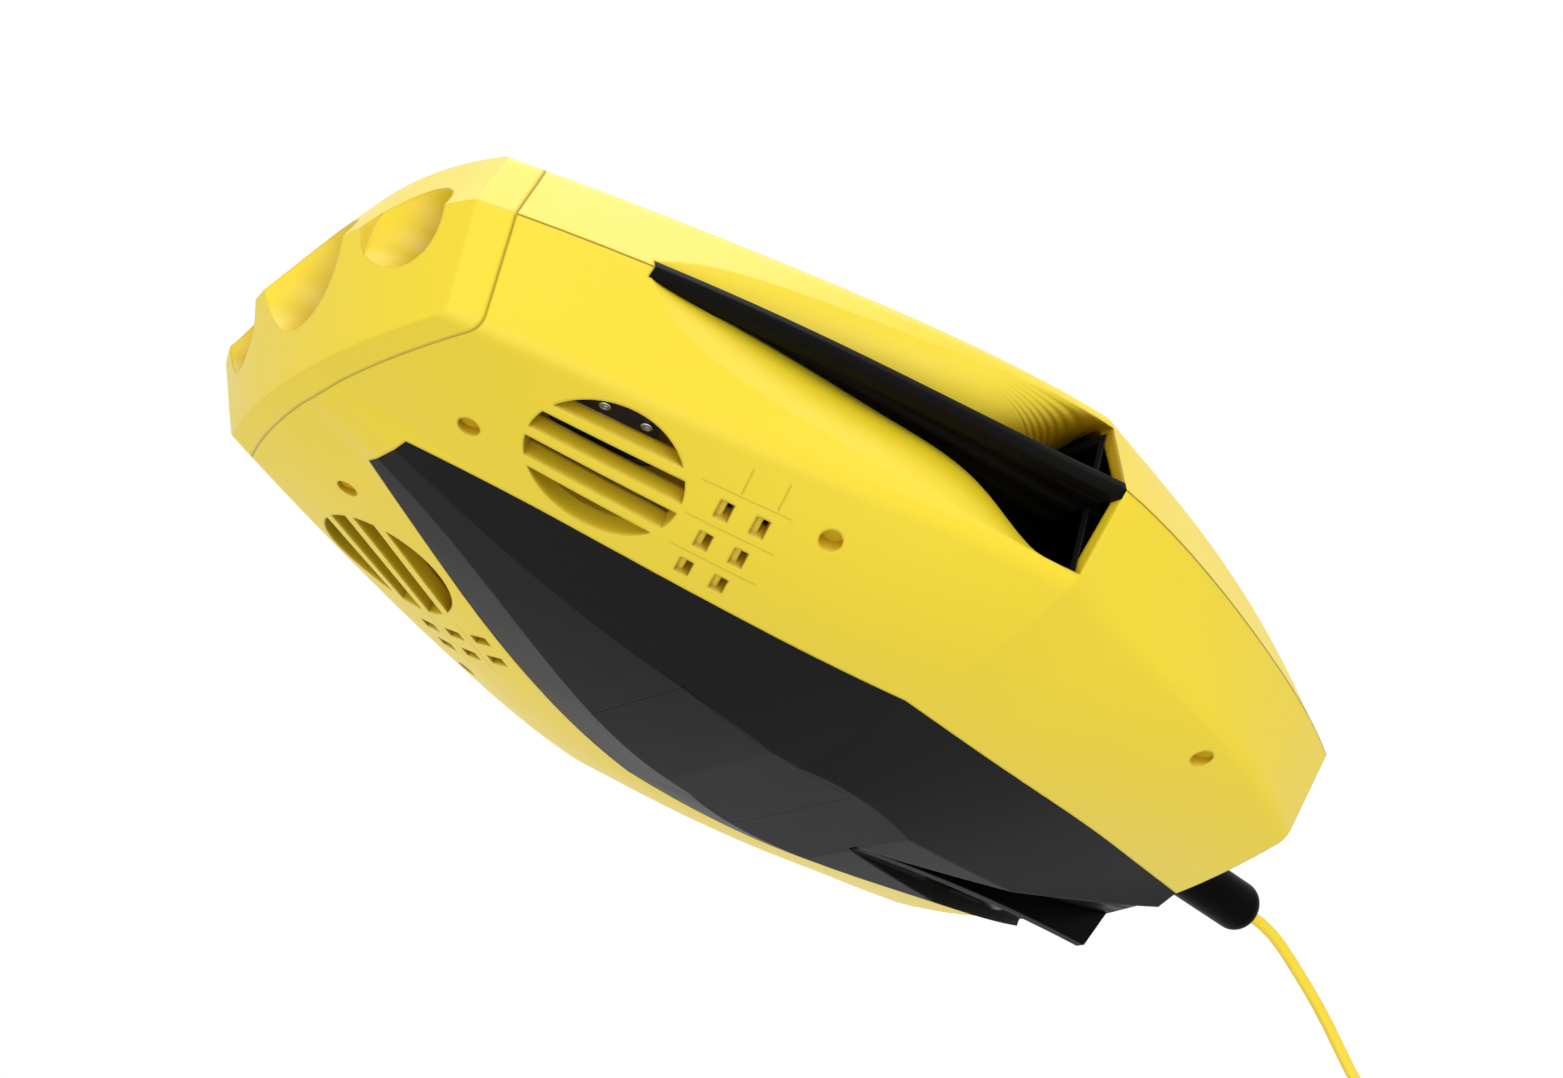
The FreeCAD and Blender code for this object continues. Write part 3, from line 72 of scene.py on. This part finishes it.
# A turn's control points lie outside its circle, by what the spline cuts off.
reach = 1 / math.cos(step / 2)
turns = [(column, 0) for column in range(coil_columns - 1, -2, -1)]
for column in range(coil_columns):
    rising = range(1, coil_layers + 1)
    turns += [(column, layer) for layer in (rising if column % 2 == 0 else reversed(rising))]
turns.pop()
angle = math.radians(-60)
stop_angle = math.radians(66) + 2 * math.pi * (len(turns) - 1)
for (column, layer), (next_column, next_layer) in zip(turns, turns[1:] + turns[-1:]):
    bump = 0.4 if layer == coil_layers else -0.4
    crossing = bump if next_column != column and layer > 0 else 0.0
    for point in range(turn_points):
        share = max(0.0, 4 * point / turn_points - 3)
        level = layer + share * (next_layer - layer)
        level += 0.4 * min(level, 1) + crossing * math.sin(math.pi * share)
        across = column + share * (next_column - column)
        radius = (coil_outside - coil_pitch * (coil_columns - 1 - across)) * reach
        if angle <= stop_angle:
            cord_points.append((coil_middle.x + radius * math.cos(angle),
                                coil_middle.y + radius * math.sin(angle),
                                cord_radius + 0.00001 + coil_pitch * level))
        angle += step
cord_points += [(0.0115, 0.3408, 0.0076), (0.0064, 0.3436, 0.0070), (0.0046, 0.3486, 0.0070),
                (0.0046, 0.3530, 0.0070)]
cord_line = bpy.data.curves.new("tether_cord", "CURVE")
cord_line.dimensions = "3D"
cord_line.bevel_depth = 1.0  # scaled by the radius at each point
cord_line.bevel_resolution = 4
cord_line.resolution_u = 3
cord_line.use_fill_caps = True
spline = cord_line.splines.new("NURBS")
spline.points.add(len(cord_points) - 1)
for control, place in zip(spline.points, cord_points):
    control.co = (*place, 1.0)
    control.radius = cord_radius
spline.order_u = 3
spline.use_endpoint_u = True
tether_cord = bpy.data.objects.new("tether_cord", cord_line)
bpy.context.scene.collection.objects.link(tether_cord)
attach(tether_cord, "hull")
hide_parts("tether", "tether_coil")


class Shade:
    """A shader socket that takes part in expressions, each of which adds its Math nodes."""

    def __init__(self, finish, socket):
        self.finish = finish
        self.socket = socket

    def math(self, operation, *others):
        sockets = dict(enumerate((self,) + others))
        return self.finish.node("Math", {"operation": operation}, sockets)

    def __add__(self, other):
        return self.math("ADD", other)

    def __sub__(self, other):
        return self.math("SUBTRACT", other)

    def __rsub__(self, other):
        return self.math("MULTIPLY", -1.0) + other

    def __mul__(self, other):
        return self.math("MULTIPLY", other)

    __radd__ = __add__
    __rmul__ = __mul__


class Finish:
    """The node tree of one material or of the surroundings."""

    def __init__(self, owner):
        owner.use_nodes = True
        self.owner = owner
        self.tree = owner.node_tree
        self.tree.nodes.clear()

    def node(self, kind, settings, sockets, result=0):
        made = self.tree.nodes.new("ShaderNode" + kind)
        for name, value in settings.items():
            setattr(made, name, value)
        for name, value in sockets.items():
            if isinstance(value, Shade):
                self.tree.links.new(value.socket, made.inputs[name])
            else:
                made.inputs[name].default_value = value
        return None if result is None else Shade(self, made.outputs[result])

    def place(self):
        return self.node("TexCoord", {}, {}, "Object")

    def along(self, axis):
        return self.node("SeparateXYZ", {}, {"Vector": self.place()}, axis)

    def noise(self, scale, detail=2.0):
        return self.node("TexNoise", {}, {"Vector": self.place(), "Scale": scale, "Detail": detail}, 0)

    def line(self, distance, half_width):
        """1 on a thin line where the distance is nought, fading to 0 at its edges."""
        return self.node("MapRange", {"interpolation_type": "SMOOTHSTEP"},
                         {"Value": distance.math("ABSOLUTE"), "From Min": 0.35 * half_width,
                          "From Max": half_width, "To Min": 1.0, "To Max": 0.0})

    def between(self, value, low, high):
        return value.math("GREATER_THAN", low) * value.math("LESS_THAN", high)

    def blend(self, share, start, end):
        return self.node("Mix", {"data_type": "RGBA"}, {0: share, 6: start, 7: end}, 2)

    def relief(self, height, distance, rounding):
        """A bump over edges that are rounded off by a small radius."""
        soft = self.node("Bevel", {"samples": 6}, {"Radius": rounding}, 0)
        return self.node("Bump", {}, {"Height": height, "Distance": distance, "Strength": 1.0,
                                      "Normal": soft}, 0)

    def surface(self, sockets):
        shader = self.node("BsdfPrincipled", {}, sockets)
        self.node("OutputMaterial", {}, {"Surface": shader}, None)
        return self.owner


def finish(name):
    return Finish(bpy.data.materials.new(name))


def moulded(name, pale, deep, roughness, grain, rounding, specular=0.5):
    """Injection-moulded plastic or rubber: faint mottle, fine spark-eroded grain, soft edges."""
    made = finish(name)
    mottle = made.noise(24.0)
    height = made.noise(grain, 3.0)
    return made.surface({
        "Base Color": made.blend(mottle, pale, deep),
        "Roughness": roughness - 0.05 + 0.1 * made.noise(70.0, 3.0),
        "Specular IOR Level": specular,
        "Normal": made.relief(height, 0.00003, rounding),
    })


def paint(material, *pieces):
    for name in pieces:
        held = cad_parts[name].data.materials
        held.clear()
        held.append(material)


cord_skin = moulded("tether_yellow", (0.93, 0.70, 0.03, 1), (0.90, 0.66, 0.025, 1), 0.42, 3000.0, 0.0001)
cord_line.materials.append(cord_skin)

# --- Boot and socket ---------------------------------------------------------
# The boot is a smooth tapered-in rubber sleeve with a rounded end, moulded on to
# the cable and pushed into the black socket in the tail.
boot_rubber = moulded("boot_rubber", (0.0026, 0.0024, 0.0024, 1), (0.0020, 0.0018, 0.0018, 1), 0.36, 1500.0,
                      0.0008, 0.02)
paint(boot_rubber, "tether_boot", "tether_socket")

# --- Topside connector -------------------------------------------------------
# A round plug for the surface unit: turned and moulded black body with a fluted
# grip, a ribbed strain relief towards the cable and a smooth mating barrel.
plug_centre = Vector((0.0046, 0.0, 0.0070))
plug_outline = [
    (0.0016, 0.3500), (0.0026, 0.3500), (0.0028, 0.3504), (0.0028, 0.3511), (0.0024, 0.3514),
    (0.0024, 0.3519), (0.0033, 0.3522), (0.0034, 0.3529), (0.0029, 0.3532), (0.0029, 0.3537),
    (0.0040, 0.3540), (0.0041, 0.3548), (0.0062, 0.3556), (0.0069, 0.3564), (0.0069, 0.3640),
    (0.0064, 0.3645), (0.0064, 0.3652), (0.0069, 0.3657), (0.0069, 0.3748), (0.0062, 0.3758),
    (0.0048, 0.3758), (0.0048, 0.3718), (0.0, 0.3718),
]
plug_mesh = bmesh.new()
rim = [plug_mesh.verts.new((plug_centre.x + r, y, plug_centre.z)) for r, y in plug_outline]
runs = [plug_mesh.edges.new(pair) for pair in zip(rim, rim[1:])]
bmesh.ops.spin(plug_mesh, geom=rim + runs, cent=plug_centre, axis=(0, 1, 0), angle=2 * math.pi,
               steps=60, use_merge=True, use_duplicate=False)
bmesh.ops.remove_doubles(plug_mesh, verts=plug_mesh.verts, dist=0.00001)
bmesh.ops.recalc_face_normals(plug_mesh, faces=plug_mesh.faces)
grip = [face for face in plug_mesh.faces if 0.357 < face.calc_center_median().y < 0.3635]
bmesh.ops.inset_individual(plug_mesh, faces=grip, thickness=0.00014, depth=-0.0003)
plug_data = bpy.data.meshes.new("topside_plug")
plug_mesh.to_mesh(plug_data)
plug_mesh.free()
topside_plug = bpy.data.objects.new("topside_plug", plug_data)
bpy.context.scene.collection.objects.link(topside_plug)
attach(topside_plug, "hull")
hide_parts("tether_connector")
plug_black = moulded("connector_black", (0.014, 0.014, 0.015, 1), (0.010, 0.010, 0.011, 1), 0.45, 1300.0,
                     0.0003)
plug_data.materials.append(plug_black)

# --- Hull shells and nose cap ------------------------------------------------
# Three satin yellow ABS mouldings. The shells meet on a thin seam round the widest
# line, the cap snaps on at the nose, and faint ribs run aft from each grille.
parting_z = 0.0448
cap_radius = 0.130
cap_centre_y = -0.1194 + 0.005 + cap_radius
cap_slope = 0.44
grille_x, grille_y = 0.0389, -0.064
slat_turn = math.radians(23)
rib_places = (-0.0084, -0.0001, 0.0082)
rib_half_width = 0.00022
scoop_tip_z, duct_mouth_y = 0.0614, 0.0112
yellow_pale, yellow_deep = (0.93, 0.715, 0.022, 1), (0.90, 0.685, 0.020, 1)
# Painted shade: the deep amber that hollows and the crowded scoop walls are blended toward.
painted_hollow_shade = (0.47, 0.265, 0.004, 1)


def yellow_abs_with_painted_shade(made, colour, height, crowded_shade=0.0):
    """Satin yellow ABS with painted shade: ambient occlusion blends its colour toward deep amber in hollows, where
    light passes from wall to wall.
    """
    hollow_shade = 1.0 - made.node("AmbientOcclusion", {"samples": 6, "only_local": True},
                             {"Distance": 0.022}, "AO")
    # depth is the share of painted shade in the colour, from the occlusion and the extra scoop shade.
    depth = (hollow_shade * 1.25 - 0.06 + crowded_shade).math("MINIMUM", 1.0).math("MAXIMUM", 0.0)
    return made.surface({
        "Base Color": made.blend(depth, colour, painted_hollow_shade),
        "Roughness": 0.36 + 0.08 * made.noise(90.0, 3.0),
        "Normal": made.relief(0.10 * made.noise(1700.0, 3.0) + height, 0.00022, 0.0010),
    })


hull = finish("hull_yellow")
x, y, z = hull.along("X"), hull.along("Y"), hull.along("Z")
aft = y - cap_centre_y
height_off_seam = (z - parting_z).math("ABSOLUTE")
behind_cap = (x * x + aft * aft).math("SQRT") - cap_radius + height_off_seam * cap_slope
seams = hull.line(z - parting_z, 0.00014).math("MAXIMUM", hull.line(behind_cap, 0.00016))
grille_out = x.math("ABSOLUTE") - grille_x
grille_aft = y - grille_y
slat_across = grille_out * math.cos(slat_turn) - grille_aft * math.sin(slat_turn)
slat_along = grille_out * math.sin(slat_turn) + grille_aft * math.cos(slat_turn)
ribs = hull.line(slat_across - rib_places[0], rib_half_width)
for rib_place in rib_places[1:]:
    ribs = ribs.math("MAXIMUM", hull.line(slat_across - rib_place, rib_half_width))
ribs = ribs * hull.between(slat_along, 0.0165, 0.0345)
corners = hull.line(slat_along - 0.0242, rib_half_width).math("MAXIMUM", hull.line(slat_along - 0.0314, rib_half_width))
corners = corners * hull.between(slat_across, 0.0088, 0.0144)
engraved = ribs.math("MAXIMUM", corners)
# Fine ridges fan over the roof of each scoop towards the duct.
roof_fan = (scoop_tip_z - z).math("DIVIDE", (y + 0.032).math("MAXIMUM", 0.004))
on_roof = hull.between(roof_fan, -0.02, 0.26) * hull.between(y, -0.020, 0.0110)
on_roof = on_roof * hull.between(z, 0.0500, 0.0625) * x.math("ABSOLUTE").math("LESS_THAN", 0.0870)
fading_in = ((y + 0.018) * 45.0).math("MINIMUM", 1.0).math("MAXIMUM", 0.0)
roof_ridges = (roof_fan * 170.0).math("SINE") * on_roof * fading_in
yellow = hull.blend(hull.noise(14.0), yellow_pale, yellow_deep)
# Painted shade: the engraved ribs and corner lines are also darkened in colour, as shade in their grooves.
yellow = hull.blend(engraved * 0.20, yellow, (0.42, 0.27, 0.010, 1))
yellow = hull.blend(seams * 0.22, yellow, (0.26, 0.17, 0.006, 1))
# Painted shade: where the fin and the duct crowd the scoop's walls, a wider ambient occlusion darkens them further
# toward amber.
scoop_shade_mask = hull.between(y, -0.018, duct_mouth_y) * hull.between(z, 0.0455, 0.0622) * fading_in
scoop_shade_mask = scoop_shade_mask * x.math("ABSOLUTE").math("GREATER_THAN", 0.050)
crowded_shade = 1.0 - hull.node("AmbientOcclusion", {"samples": 6, "only_local": False}, {"Distance": 0.045}, "AO")
hull_yellow = yellow_abs_with_painted_shade(hull, yellow, 0.5 * roof_ridges - 0.25 * seams - 0.6 * engraved,
                         scoop_shade_mask * (crowded_shade * 2.6 - 0.25).math("MAXIMUM", 0.0))
paint(hull_yellow, "lower_shell", "upper_shell")
cap = finish("cap_yellow")
# The cap gets the same painted shade in its hollows.
cap_yellow = yellow_abs_with_painted_shade(cap, cap.blend(cap.noise(14.0), yellow_pale, yellow_deep), 0.0)
paint(cap_yellow, "nose_cap")

# --- Tunnel linings and screw plugs ------------------------------------------
# The vertical thruster tunnels are moulded in the hull's yellow; the darker yellow they are given is
# painted shade, since little light gets in. Flat yellow plugs close the screw holes.
tunnel_shaded_yellow = moulded("tunnel_shaded_yellow", (0.40, 0.25, 0.007, 1), (0.36, 0.22, 0.006, 1), 0.5, 1500.0, 0.0004, 0.2)
paint(tunnel_shaded_yellow, "front_tunnel_left", "front_tunnel_right", "rear_tunnel")
# Painted shade: the plugs are a darker yellow than the hull, as shade at the bottom of the screw holes.
plug_shaded_yellow = moulded("plug_shaded_yellow", (0.62, 0.42, 0.010, 1), (0.57, 0.38, 0.009, 1), 0.5, 1500.0, 0.0002, 0.2)
paint(plug_shaded_yellow, "screw_plugs")

# --- Belly panel and ventral fin ---------------------------------------------
# Satin black glass-filled nylon panel, screwed on at the tail, with a faint
# rectangular service cover in its flat and shallow flow ridges in the recess.
cover_front, cover_rear = -0.020, 0.024
panel = finish("panel_black")
x, y = panel.along("X"), panel.along("Y")
flare = 0.0160 + (y - cover_front) * 0.07
sides = panel.line(x.math("ABSOLUTE") - flare, 0.00022) * panel.between(y, cover_front, cover_rear)
ends = panel.line(y - cover_front, 0.00022).math("MAXIMUM", panel.line(y - cover_rear, 0.00022))
ends = ends * (flare - x.math("ABSOLUTE")).math("GREATER_THAN", 0.0)
cover = sides.math("MAXIMUM", ends)
out = x.math("ABSOLUTE") - 0.0012
fan = out.math("DIVIDE", (y - 0.034).math("MAXIMUM", 0.004)) * 95.0
in_recess = (0.0008 + 0.31 * (y - 0.042) - x.math("ABSOLUTE")).math("GREATER_THAN", 0.0)
in_recess = in_recess * panel.between(y, 0.060, 0.118)
ridges = fan.math("SINE") * in_recess
grain = panel.noise(1500.0, 3.0)
panel_black = panel.surface({
    "Base Color": panel.blend(cover, (0.0070, 0.0066, 0.0072, 1), (0.0015, 0.0015, 0.0015, 1)),
    "Roughness": 0.42 + 0.08 * panel.noise(60.0, 3.0),
    "Specular IOR Level": 0.08,
    "Normal": panel.relief(0.08 * grain - 0.7 * cover + 0.8 * ridges, 0.00022, 0.0007),
})
paint(panel_black, "belly_panel")
paint(moulded("ventral_fin_black", (0.0024, 0.0023, 0.0026, 1), (0.0018, 0.0017, 0.0020, 1), 0.34, 1400.0, 0.0006,
              0.03), "ventral_fin")

# --- Side fins ---------------------------------------------------------------
# Black nylon fins that split each scoop. The rim is thick and smooth; the plate
# has fine flutes that fan out towards the duct and steady the flow.
fin = finish("fin_black")
x, y = fin.along("X"), fin.along("Y")
inboard_of_rim = 0.094 + 0.317 * (y - 0.0105) - x.math("ABSOLUTE")
spread = inboard_of_rim.math("DIVIDE", (y + 0.095).math("MAXIMUM", 0.01))
flutes = (spread * 100.0).math("COSINE") * inboard_of_rim.math("GREATER_THAN", 0.0042)
grain = fin.noise(1500.0, 3.0)
fin_black = fin.surface({
    "Base Color": fin.blend(fin.noise(40.0), (0.0048, 0.0044, 0.0040, 1), (0.0036, 0.0033, 0.0030, 1)),
    "Roughness": 0.40 + 0.08 * fin.noise(60.0, 3.0),
    "Specular IOR Level": 0.04,
    "Normal": fin.relief(0.03 * grain + flutes, 0.0007, 0.0012),
})
paint(fin_black, "side_fin_left", "side_fin_right")

# --- Ducts and outlet guards -------------------------------------------------
# Matt black ducts carry water from the scoops to the tail. Each ends in a round
# guard with three bars, pushed in from behind.
duct_black = moulded("duct_black", (0.0045, 0.0045, 0.005, 1), (0.003, 0.003, 0.0035, 1), 0.55, 1200.0,
                     0.0005, 0.25)
paint(duct_black, "side_duct_left", "side_duct_right", "outlet_guard_left", "outlet_guard_right")

# --- Thrusters ---------------------------------------------------------------
# Five sealed motors on three-armed black mounts, each with a ground steel shaft
# and a three-bladed propeller of black glass-filled plastic.
thruster_names = ("front_left", "front_right", "rear", "drive_left", "drive_right")
mount_black = moulded("mount_black", (0.007, 0.007, 0.008, 1), (0.005, 0.005, 0.006, 1), 0.45, 1300.0,
                      0.0005, 0.35)
propeller_black = moulded("propeller_black", (0.012, 0.012, 0.013, 1), (0.009, 0.009, 0.010, 1), 0.36,
                          1300.0, 0.0004, 0.4)
motor = finish("motor_metal")
lathe = (motor.noise(8.0) * 0.5 + motor.along("Z") * 2600.0).math("SINE")
motor_metal = motor.surface({
    "Base Color": motor.blend(motor.noise(60.0), (0.030, 0.030, 0.033, 1), (0.022, 0.022, 0.024, 1)),
    "Metallic": 0.6,
    "Roughness": 0.34 + 0.05 * lathe,
    "Normal": motor.relief(motor.noise(900.0), 0.00002, 0.0005),
})
steel = finish("bright_steel")
bright_steel = steel.surface({
    "Base Color": steel.blend(steel.noise(300.0), (0.66, 0.66, 0.68, 1), (0.56, 0.56, 0.58, 1)),
    "Metallic": 1.0,
    "Roughness": 0.20 + 0.10 * steel.noise(500.0, 3.0),
    "Normal": steel.relief(steel.noise(1400.0), 0.00001, 0.0002),
})
for name in thruster_names:
    paint(mount_black, name + "_mount")
    paint(motor_metal, name + "_motor")
    paint(bright_steel, name + "_shaft")
    paint(propeller_black, name + "_propeller")

# --- Motor screws ------------------------------------------------------------
# Small stainless cap screws hold each vertical motor to its mount. They go in
# from below, in the three gaps between the arms, with round sockets.
screw_head_radius, screw_head_height = 0.00125, 0.0009
screw_mesh = bmesh.new()
for middle_x, middle_y, underside in ((0.0389, -0.064, 0.031), (-0.0389, -0.064, 0.031), (0.0, 0.080, 0.036)):
    for index in range(3):
        turn = math.radians(46 + 120 * index)
        centre = Vector((middle_x + 0.0050 * math.cos(turn), middle_y + 0.0050 * math.sin(turn),
                         underside - screw_head_height / 2 + 0.0001))
        head = bmesh.ops.create_cone(screw_mesh, cap_ends=True, segments=24, radius1=screw_head_radius,
                                     radius2=screw_head_radius, depth=screw_head_height,
                                     matrix=Matrix.Translation(centre))["verts"]
        low = [face for face in screw_mesh.faces
               if face.verts[0] in head and face.normal.z < -0.9 and len(face.verts) > 4]
        bmesh.ops.inset_region(screw_mesh, faces=low, thickness=0.0002, depth=0.00012)
        bmesh.ops.inset_region(screw_mesh, faces=low, thickness=0.00035, depth=0.0)
        bmesh.ops.inset_region(screw_mesh, faces=low, thickness=0.00005, depth=-0.0005)
mount_screws_data = bpy.data.meshes.new("mount_screws")
screw_mesh.to_mesh(mount_screws_data)
screw_mesh.free()
mount_screws_data.materials.append(bright_steel)
mount_screws = bpy.data.objects.new("mount_screws", mount_screws_data)
bpy.context.scene.collection.objects.link(mount_screws)
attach(mount_screws, "hull")

# --- Shell and panel screws --------------------------------------------------
# Blackened steel screws hold the belly panel; plain steel ones under the plugs
# hold the shells together.
paint(bright_steel, "shell_screws")
dark_steel = moulded("dark_steel", (0.010, 0.010, 0.011, 1), (0.006, 0.006, 0.007, 1), 0.30, 900.0, 0.0002)
paint(dark_steel, "panel_screws")

# --- Electronics case --------------------------------------------------------
# A sealed grey polycarbonate tray and lid on four posts, with a black gasket.
# It holds the green main board and a battery pack in blue shrink film.
case_grey = moulded("case_grey", (0.26, 0.27, 0.28, 1), (0.22, 0.23, 0.24, 1), 0.45, 1200.0, 0.0006)
paint(case_grey, "case_tray", "case_lid")
gasket_rubber = moulded("gasket_rubber", (0.012, 0.012, 0.012, 1), (0.008, 0.008, 0.008, 1), 0.6, 1500.0,
                        0.0002)
paint(gasket_rubber, "case_gasket")
battery_blue = moulded("battery_blue", (0.02, 0.09, 0.30, 1), (0.015, 0.07, 0.24, 1), 0.28, 250.0, 0.002)
paint(battery_blue, "battery_pack")
board = finish("board_green")
tracks = (board.along("X") * 2400.0).math("SINE").math("GREATER_THAN", 0.86)
tracks = tracks * board.noise(160.0).math("GREATER_THAN", 0.5)
board_green = board.surface({
    "Base Color": board.blend(tracks, (0.010, 0.10, 0.030, 1), (0.05, 0.22, 0.07, 1)),
    "Roughness": 0.32 + 0.1 * tracks,
    "Normal": board.relief(tracks, 0.00003, 0.0002),
})
paint(board_green, "main_board")

# --- Camera ------------------------------------------------------------------
# A black anodised barrel with a coated lens sits behind a flat acrylic window,
# sealed into the bottom of the middle recess.
paint(moulded("camera_black", (0.010, 0.010, 0.011, 1), (0.006, 0.006, 0.007, 1), 0.35, 900.0, 0.0003),
      "camera_body")
window = finish("clear_glass")
clear_glass = window.surface({
    "Base Color": window.blend(window.noise(30.0), (0.97, 0.98, 0.98, 1), (0.93, 0.95, 0.95, 1)),
    "Roughness": 0.01 + 0.02 * window.noise(40.0),
    "Transmission Weight": 1.0,
    "IOR": 1.49,
})
paint(clear_glass, "camera_window", "lamp_lens_left", "lamp_lens_right")
coated = finish("lens_glass")
radius_off_axis = (coated.along("X") * coated.along("X")
                   + (coated.along("Z") - parting_z) * (coated.along("Z") - parting_z)).math("SQRT")
rings = (radius_off_axis * 2600.0).math("SINE")
lens_glass = coated.surface({
    "Base Color": coated.blend(rings * 0.5 + 0.5, (0.010, 0.012, 0.022, 1), (0.022, 0.014, 0.030, 1)),
    "Roughness": 0.05 + 0.03 * coated.noise(60.0),
    "Coat Weight": 1.0,
    "Normal": coated.relief(rings, 0.00005, 0.0006),
})
paint(lens_glass, "camera_lens")

# --- Lamps -------------------------------------------------------------------
# Two white LED lamps: a bright moulded reflector cup, a phosphor-coated LED on
# its board, and the same clear window as the camera's.
paint(moulded("lamp_white", (0.80, 0.80, 0.80, 1), (0.74, 0.74, 0.75, 1), 0.3, 900.0, 0.0003),
      "lamp_housing_left", "lamp_housing_right")
paint(moulded("led_yellow", (0.90, 0.78, 0.26, 1), (0.85, 0.70, 0.20, 1), 0.4, 900.0, 0.0003),
      "lamp_led_left", "lamp_led_right")

# --- Floor -------------------------------------------------------------------
# A plain pale studio floor that is seen only from above and lets light through
# from below, so that the belly can be seen and lit from underneath.
floor_mesh = bmesh.new()
bmesh.ops.create_grid(floor_mesh, x_segments=1, y_segments=1, size=3.0,
                      matrix=Matrix.Translation((0, 0, -0.0002)))
floor_data = bpy.data.meshes.new("floor")
floor_mesh.to_mesh(floor_data)
floor_mesh.free()
floor = bpy.data.objects.new("floor", floor_data)
bpy.context.scene.collection.objects.link(floor)
ground = finish("pale_floor")
path = {kind: ground.node("LightPath", {}, {}, "Is %s Ray" % kind) for kind in ("Shadow", "Diffuse", "Glossy")}
under = ground.node("NewGeometry", {}, {}, "Backfacing")
open_share = under.math("MAXIMUM", path["Shadow"]).math("MAXIMUM", path["Diffuse"])
open_share = open_share.math("MAXIMUM", path["Glossy"])
matt = ground.node("BsdfDiffuse", {}, {"Color": ground.blend(ground.noise(3.0), (0.93, 0.93, 0.93, 1),
                                                              (0.91, 0.91, 0.92, 1))})
clear = ground.node("BsdfTransparent", {}, {})
laid = ground.node("MixShader", {}, {0: open_share, 1: matt, 2: clear})
ground.node("OutputMaterial", {}, {"Surface": laid}, None)
floor_data.materials.append(ground.owner)

# --- Light -------------------------------------------------------------------
# Soft studio light from all round at a plain level, with broad lamps to port,
# above and below, before a white background.
room = Finish(bpy.data.worlds.new("studio"))
bpy.context.scene.world = room.owner
seen = room.node("LightPath", {}, {}, "Is Camera Ray")
for kind in ("Glossy", "Transmission"):
    seen = seen.math("MAXIMUM", room.node("LightPath", {}, {}, "Is %s Ray" % kind))
soft = room.node("Background", {}, {"Color": (1, 1, 1, 1), "Strength": 0.50})
white = room.node("Background", {}, {"Color": (1, 1, 1, 1), "Strength": 1.0})
both = room.node("MixShader", {}, {0: seen, 1: soft, 2: white})
room.node("OutputWorld", {}, {"Surface": both}, None)
for name, towards, strength, width in (
    ("key_port", (0.84, -0.38, 0.22), 1.43, 50),
    ("fill_below", (0.25, -0.45, -0.86), 1.04, 60),
    ("top", (-0.15, -0.20, 0.97), 1.10, 50),
):
    sun = bpy.data.lights.new(name, "SUN")
    sun.energy = strength
    sun.angle = math.radians(width)
    lamp = bpy.data.objects.new(name, sun)
    lamp.rotation_euler = Vector(towards).to_track_quat("Z", "Y").to_euler()
    bpy.context.scene.collection.objects.link(lamp)

bpy.context.view_layer.update()
